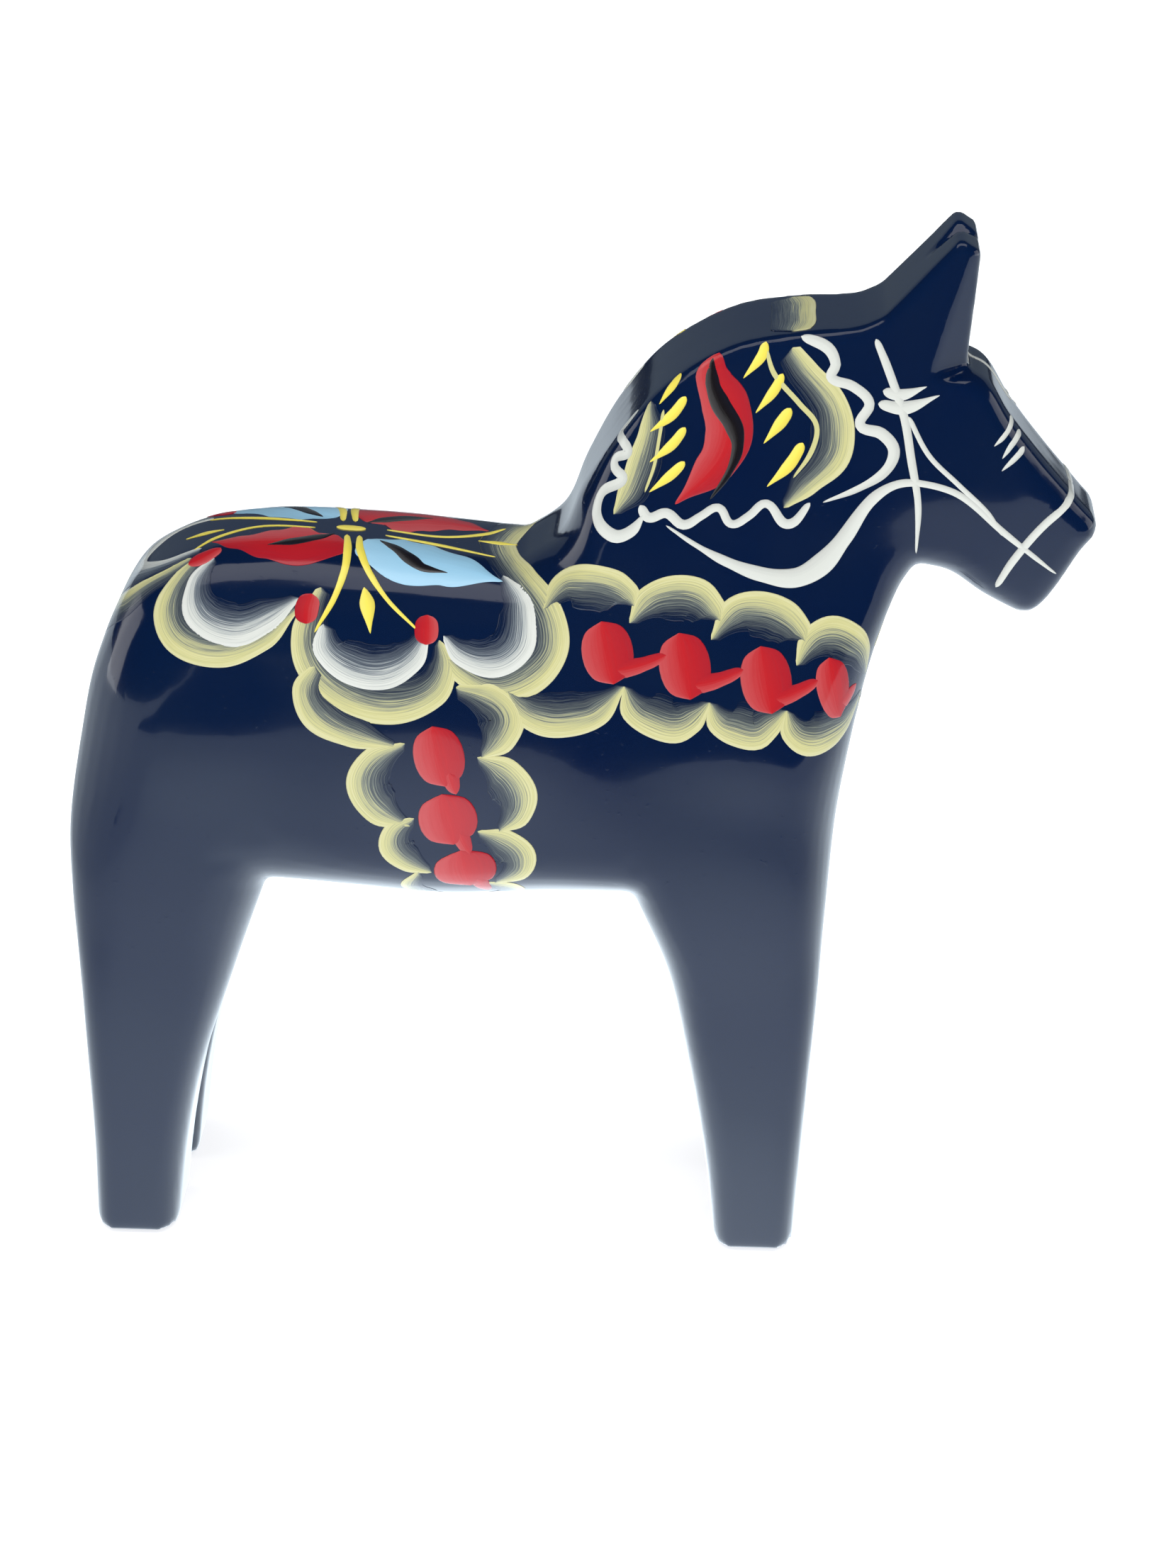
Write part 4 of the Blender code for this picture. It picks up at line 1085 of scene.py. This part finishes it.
def film_height(tree, given, place, across, along, number):
    """How far the film stands off the coat: a low ridged crown on top, and a little way in below."""
    squared = maths(tree, "MULTIPLY", place["Y"], place["Y"])
    crown = maths(tree, "SQRT", maths(tree, "MAXIMUM", maths(tree, "SUBTRACT", 1.0, squared), 0.0))
    faded = maths(tree, "SUBTRACT", 1.0, maths(tree, "MULTIPLY", across, given["Fade"]))
    bristle_place = as_vector(tree, maths(tree, "MULTIPLY", along, RIDGE_SHORTNESS),
                              maths(tree, "MULTIPLY", across, RIDGES_ACROSS), number)
    ridges = maths(tree, "SUBTRACT", noise_at(tree, bristle_place, 1.0), 0.5)
    thick = maths(tree, "MULTIPLY_ADD", ridges, given["Ridge height"], given["Film height"])
    raised = maths(tree, "MULTIPLY_ADD", maths(tree, "MULTIPLY", crown, thick), faded, given["Lift"])
    upper = maths(tree, "GREATER_THAN", place["X"], UPPER_FROM)
    buried = maths(tree, "MULTIPLY", given["Bury"], -1.0)
    return add_node(tree, "ShaderNodeMix", {"Factor": upper, "A": buried, "B": raised},
                    data_type="FLOAT").outputs["Result"]


def finished_film(tree, given, film, spot):
    """The film with its UVs, smooth shading and paint, ready for the tree's output."""
    film = add_node(tree, "GeometryNodeStoreNamedAttribute", {
        "Geometry": film, "Name": "UVMap", "Value": spot}, data_type="FLOAT2", domain="CORNER")
    film = add_node(tree, "GeometryNodeSetShadeSmooth", {"Geometry": film.outputs["Geometry"]})
    film = add_node(tree, "GeometryNodeRealizeInstances", {"Geometry": film.outputs["Geometry"]})
    film = add_node(tree, "GeometryNodeSetMaterial", {
        "Geometry": film.outputs["Geometry"], "Material": given["Paint"]})
    tree.links.new(film.outputs["Geometry"], tree.nodes.new("NodeGroupOutput").inputs["Film"])


def brush_tree():
    """A brush stroke along each curve: a thin raised film that hugs the coat, with round ends."""
    tree = bpy.data.node_groups.new("brush_stroke", "GeometryNodeTree")
    given = brush_inputs(tree)
    here = add_node(tree, "GeometryNodeInputPosition").outputs["Position"]
    radius = add_node(tree, "GeometryNodeInputRadius").outputs["Radius"]
    length = add_node(tree, "GeometryNodeSplineParameter").outputs["Length"]
    number = add_node(tree, "GeometryNodeCurveOfPoint").outputs["Curve Index"]
    facing = add_node(tree, "GeometryNodeInputNormal").outputs["Normal"]

    coat = add_node(tree, "GeometryNodeObjectInfo", {"Object": given["Coat"]}, transform_space="ORIGINAL")
    coat = carry(tree, coat.outputs["Geometry"], normal=("VECTOR", facing))
    out = nearest_value(tree, coat["Geometry"], coat["normal"])
    skin = nearest_value(tree, coat["Geometry"], here)

    strokes = add_node(tree, "GeometryNodeResampleCurve", {
        "Curve": given["Strokes"], "Length": given["Step"]}, mode="LENGTH").outputs["Curve"]
    width = maths(tree, "MULTIPLY", radius, stroke_swell(tree, given, length))
    strokes = add_node(tree, "GeometryNodeSetCurveRadius", {
        "Curve": strokes, "Radius": width}).outputs["Curve"]
    strokes = add_node(tree, "GeometryNodeSetCurveNormal", {"Curve": strokes, "Normal": out},
                       mode="FREE").outputs["Curve"]
    strokes = carry(tree, strokes, along=("FLOAT", length), number=("FLOAT", number))
    tube, place = stroke_tube(tree, given, strokes["Geometry"], radius, here)

    across = maths(tree, "MULTIPLY_ADD", place["Y"], ACROSS_SIGN * 0.5, 0.5)
    height = film_height(tree, given, place, across, strokes["along"], strokes["number"])
    rise = vector_maths(tree, "SCALE", {0: out, "Scale": height}).outputs[0]
    hugging = vector_maths(tree, "ADD", {0: skin, 1: rise}).outputs[0]
    film = add_node(tree, "GeometryNodeSetPosition", {"Geometry": tube, "Position": hugging})
    shifted = maths(tree, "MULTIPLY_ADD", strokes["number"], STROKE_SHIFT, strokes["along"])
    finished_film(tree, given, film.outputs["Geometry"], as_vector(tree, shifted, across))
    return tree


def set_input(modifier, name, value):
    """Sets a Geometry Nodes input by its socket's identifier."""
    for item in modifier.node_group.interface.items_tree:
        if item.item_type == "SOCKET" and item.in_out == "INPUT" and item.name == name:
            modifier[item.identifier] = value
            return
    raise KeyError(name)


def touch(coat_tree, point):
    """A control point laid on the coat, in metres, with its half width."""
    *place, half_width = (value / 1000.0 for value in point)
    found = None
    if len(place) == 2:
        x, z = place
        found = coat_tree.ray_cast(Vector((x, -WIDTH, z)), Vector((0.0, 1.0, 0.0)))[0]
        place = (x, -CREST_WIDTH / 2, z)
    if found is None:
        found = coat_tree.find_nearest(Vector(place))[0]
    return Vector((*found, half_width))


def stroke_path(coat_tree, points):
    """Closely spaced (x, y, z, half width) along a stroke, up to its very end."""
    knots = [touch(coat_tree, point) for point in points]
    return smooth_run(knots, PATH_STEP, 2) + [knots[-1]]


def mirrored(path):
    """The same stroke on the horse's other side, with the loaded edge kept outside."""
    return [Vector((x, -y, z, half_width)) for x, y, z, half_width in reversed(path)]


def turned(path):
    """The same stroke turned half round about the middle of the flower."""
    return [Vector((2 * FLOWER_MIDDLE - x, -y, z, half_width)) for x, y, z, half_width in path]


def brush(name, paths, coat, paint, tree, sizes):
    """One piece of brushwork: every path laid on the coat as a film of paint."""
    curve = bpy.data.curves.new(name, "CURVE")
    curve.dimensions = "3D"
    for path in paths:
        spline = curve.splines.new("POLY")
        spline.points.add(len(path) - 1)
        for point, (x, y, z, half_width) in zip(spline.points, path):
            point.co = (x, y, z, 1.0)
            point.radius = max(half_width, FINEST_HAIR)
    drawn = add_object(name + "_paths", curve)
    modifier = drawn.modifiers.new("brush", "NODES")
    modifier.node_group = tree
    for key, value in {"Coat": coat, "Paint": paint, **sizes}.items():
        set_input(modifier, key, value)
    film = solid_copy(drawn)
    film.name = name
    bpy.data.objects.remove(drawn)
    return add_object(name, film)


def beads(table):
    """Two strokes for each bead: the round dab itself and the thin tail that leaves its lower edge."""
    places = [math.sin(math.pi * index / 12) for index in range(-6, 7)]
    strokes = []
    for x, z, half_width, half_height, tail_x, tail_z in table:
        strokes.append([(x + 0.2 * half_height * place, z - half_height * place,
                         max(0.6, half_width * (1 - abs(place) ** BEAD_FULLNESS) ** (1 / BEAD_FULLNESS)))
                        for place in places])
        start_x, start_z = x + 0.4 * half_width, z - 0.55 * half_height
        strokes.append([(start_x + tail_x * share, start_z + (tail_z + 3 * share) * share, 2.4 - 1.6 * share)
                        for share in (0.0, 0.25, 0.5, 0.8)])
    return strokes


def brushwork():
    """Every painted piece: its name, its strokes with how they repeat, paint, slot and brush sizes."""
    scallop = {"Step": 0.0009, "Fade": 0.85, "Lean": 0.45, "Spread": 1.83, "End roundness": 0.0012}
    cream = ("cream_brushed", "cream_yellow_paint")
    white = ("white_brushed", "white_paint")
    red = ("red_brushed", "red_paint")
    yellow = ("yellow_brushed", "bright_yellow_paint")
    black = ("black_brushed", "black_paint")
    return (
        ("saddle_cream_scallops", [(SADDLE_CREAM, mirrored)], cream, {"Lift": 0.00003, **scallop}),
        ("saddle_white_scallops", [(SADDLE_WHITE, mirrored)], white, {"Lift": 0.00006, **scallop}),
        ("rump_cream_scallop", [(RUMP_CREAM, None)], cream, {"Lift": 0.00003, **scallop}),
        ("rump_white_scallop", [(RUMP_WHITE, None)], white, {"Lift": 0.00006, **scallop}),
        ("girth_scallops", [(GIRTH_CREAM, mirrored)], cream, {"Lift": 0.00005, **scallop}),
        ("chest_scallops", [(CHEST_CREAM, mirrored), (BREAST_CREAM, None)], cream,
         {"Lift": 0.00004, **scallop}),
        ("neck_border", [(NECK_CREAM, mirrored)], cream, {"Lift": 0.00004, **scallop}),
        ("crest_band", [(CREST_CREAM, None)], cream, {"Lift": 0.00014, "Lean": 0.2, "Spread": 1.3}),
        ("girth_red_beads", [(beads(GIRTH_RED_BEADS), mirrored)], red, {"Lift": 0.00008, "Step": 0.0006}),
        ("chest_red_beads", [(beads(CHEST_RED_BEADS), mirrored), (BREAST_RED, None)], red,
         {"Lift": 0.00008, "Step": 0.0006}),
        ("flower_red_petals", [(FLOWER_RED, turned)], red,
         {"Lift": 0.00003, "Step": 0.0006, "Points around": 32}),
        ("flower_blue_petals", [(FLOWER_BLUE, turned)], ("blue_brushed", "sky_blue_paint"),
         {"Lift": 0.00004, "Step": 0.0006, "Points around": 32}),
        ("flower_black_strokes", [(FLOWER_BLACK, turned)], black,
         {"Lift": 0.00012, "Step": 0.0005, "Points around": 12}),
        ("flower_yellow_strokes", [(FLOWER_YELLOW, turned)], yellow,
         {"Lift": 0.00009, "Step": 0.0006, "Points around": 12}),
        ("flower_heart", [(FLOWER_HEART, None)], yellow,
         {"Lift": 0.00020, "Step": 0.0004, "Points around": 16}),
        ("saddle_red_dots", [(SADDLE_RED_DOTS, mirrored)], red,
         {"Lift": 0.00012, "Step": 0.0004, "Film height": 0.00014}),
        ("neck_yellow_lines", [(NECK_YELLOW, mirrored)], ("cream_solid", "bright_yellow_paint"),
         {"Lift": 0.00005, "Step": 0.0005, "Points around": 12}),
        ("neck_yellow_dashes", [(NECK_DASHES, mirrored)], yellow,
         {"Lift": 0.00005, "Step": 0.0004, "Points around": 12, "Film height": 0.00012}),
        ("neck_red_leaf", [(NECK_RED, mirrored)], red, {"Lift": 0.00004, "Step": 0.0006}),
        ("neck_black_core", [(NECK_BLACK, mirrored)], black,
         {"Lift": 0.00010, "Step": 0.0005, "Points around": 12}),
        ("white_waves", [(WHITE_WAVES, mirrored)], ("white_solid", "white_paint"),
         {"Lift": 0.00006, "Step": 0.0005, "Points around": 14}),
        ("white_harness", [(HARNESS_WHITE, mirrored), (NOSE_WHITE, None)], ("white_solid", "white_paint"),
         {"Lift": 0.00008, "Step": 0.0005, "Points around": 14, "Film height": 0.00011}),
    )


def horse():
    """The coat over the staves, beech on the dowels, and the brushwork on the coat."""
    coat = navy_coat(navy_enamel())
    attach(coat, "root")
    staves = [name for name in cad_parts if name.endswith("_stave")]
    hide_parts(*staves)
    pegs = beech_pegs()
    for name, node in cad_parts.items():
        if name.endswith("_dowel"):
            for slot in node.material_slots:
                slot.material = pegs
    coat_tree = BVHTree.FromObject(coat, bpy.context.evaluated_depsgraph_get())
    tree = brush_tree()
    paints = brushed_paints()
    for name, laid, (paint, slot), sizes in brushwork():
        paths = []
        for strokes, repeat in laid:
            drawn = [stroke_path(coat_tree, points) for points in strokes]
            paths += drawn + ([repeat(path) for path in drawn] if repeat else [])
        made = brush(name, paths, coat, paints[paint], tree, sizes)
        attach(made, "root")


def camera():
    """The camera, a metre off on the horse's right and a little above it."""
    pitch = math.radians(CAMERA_PITCH)
    yaw = math.radians(CAMERA_YAW)
    roll = math.radians(CAMERA_ROLL)
    back = Vector((math.sin(yaw) * math.cos(pitch), -math.cos(yaw) * math.cos(pitch), math.sin(pitch)))
    level = Vector((0.0, 0.0, 1.0)).cross(back).normalized()
    upright = back.cross(level)
    right = level * math.cos(roll) + upright * math.sin(roll)
    up = upright * math.cos(roll) - level * math.sin(roll)
    lens = bpy.data.cameras.new("camera")
    lens.lens = CAMERA_LENS
    lens.sensor_fit = "VERTICAL"
    lens.sensor_height = CAMERA_FILM
    view = add_object("camera", lens)
    turn = Matrix((right, up, back)).transposed().to_4x4()
    view.matrix_world = Matrix.Translation(CAMERA_AIM + back * CAMERA_DISTANCE) @ turn
    bpy.context.scene.camera = view


def soft_light(name, place, aim, size, power, tint, in_gloss, on_paint):
    """A rectangular studio light; it may be seen only in the gloss, or only light the paint."""
    data = bpy.data.lights.new(name, "AREA")
    data.shape = "RECTANGLE"
    data.size, data.size_y = size
    data.energy = power
    data.color = tint
    light = add_object(name, data)
    direction = Vector(aim) - Vector(place)
    light.matrix_world = Matrix.Translation(place) @ direction.to_track_quat("-Z", "Y").to_matrix().to_4x4()
    light.visible_camera = False
    light.visible_glossy = in_gloss
    light.visible_diffuse = on_paint


def white_floor():
    """A plain white surface that gives off its own light as well."""
    material, _, shader = new_material("white_floor")
    set_values(shader, {"Base Color": FLOOR_WHITE, "Roughness": 1.0, "Specular IOR Level": 0.0,
                        "Emission Color": FLOOR_WHITE, "Emission Strength": FLOOR_GLOW})
    return material


def glowing_table():
    """The table as the gloss shows it: a glowing sheet with a painted pool of light, bright under the horse
    and dimmer further out.
    """
    material, tree, shader = new_material("painted_glow_table")
    distance = vector_maths(tree, "LENGTH", {0: object_place(tree)}).outputs["Value"]
    far = remap(tree, distance, TABLE_MIDDLE, TABLE_FAR, TABLE_GLOW, TABLE_GLOW * TABLE_FAR_SHARE)
    # Painted pool of light: the glow is boosted close under the horse and fades with distance.
    near = remap(tree, distance, TABLE_NEAR, TABLE_MIDDLE, TABLE_NEAR_BOOST, 1.0)
    set_values(shader, {"Base Color": (0.0, 0.0, 0.0, 1.0), "Specular IOR Level": 0.0,
                        "Emission Color": TABLE_TINT})
    tree.links.new(maths(tree, "MULTIPLY", far, near), shader.inputs["Emission Strength"])
    return material


def sheet(name, low, high, height, material):
    """A flat rectangle on the ground."""
    mesh = bpy.data.meshes.new(name)
    corners = [(low[0], low[1], height), (high[0], low[1], height), (high[0], high[1], height),
               (low[0], high[1], height)]
    mesh.from_pydata(corners, [], [(0, 1, 2, 3)])
    thing = add_object(name, mesh, material)
    return thing


def studio_air():
    """An even pale light on the paint, and near darkness in the gloss."""
    world = bpy.data.worlds.new("studio_air")
    bpy.context.scene.world = world
    world.use_nodes = True
    tree = world.node_tree
    in_gloss = add_node(tree, "ShaderNodeLightPath").outputs["Is Glossy Ray"]
    mixed = add_node(tree, "ShaderNodeMix", {"Factor": in_gloss, "A": AIR_ON_PAINT, "B": AIR_IN_GLOSS},
                     data_type="RGBA")
    colour = next(out for out in mixed.outputs if out.type == "RGBA")
    tree.links.new(colour, tree.nodes["Background"].inputs["Color"])


def studio():
    """A pale floor, a glowing table with a painted pool of light seen only in the gloss, and soft lights
    above and to the sides.
    """
    reach = FLOOR_REACH
    floor = sheet("floor", (-reach, -reach), (reach, reach), -FLOOR_DROP, white_floor())
    floor.visible_glossy = False
    painted_glow_table = glowing_table()
    table = sheet("table", (-TABLE_REACH, -TABLE_FRONT), (TABLE_REACH, TABLE_BACK), -TABLE_DROP, painted_glow_table)
    wing = sheet("table_end", (-2 * TABLE_REACH, -2 * TABLE_BACK), (-TABLE_WING, -TABLE_FRONT), -TABLE_DROP,
                 painted_glow_table)
    for seen in (table, wing):
        seen.visible_camera = False
        seen.visible_diffuse = False
        seen.visible_shadow = False
    for light in LIGHTS:
        soft_light(*light)
    studio_air()
    bpy.context.scene.view_settings.view_transform = "Standard"


camera()
horse()
studio()
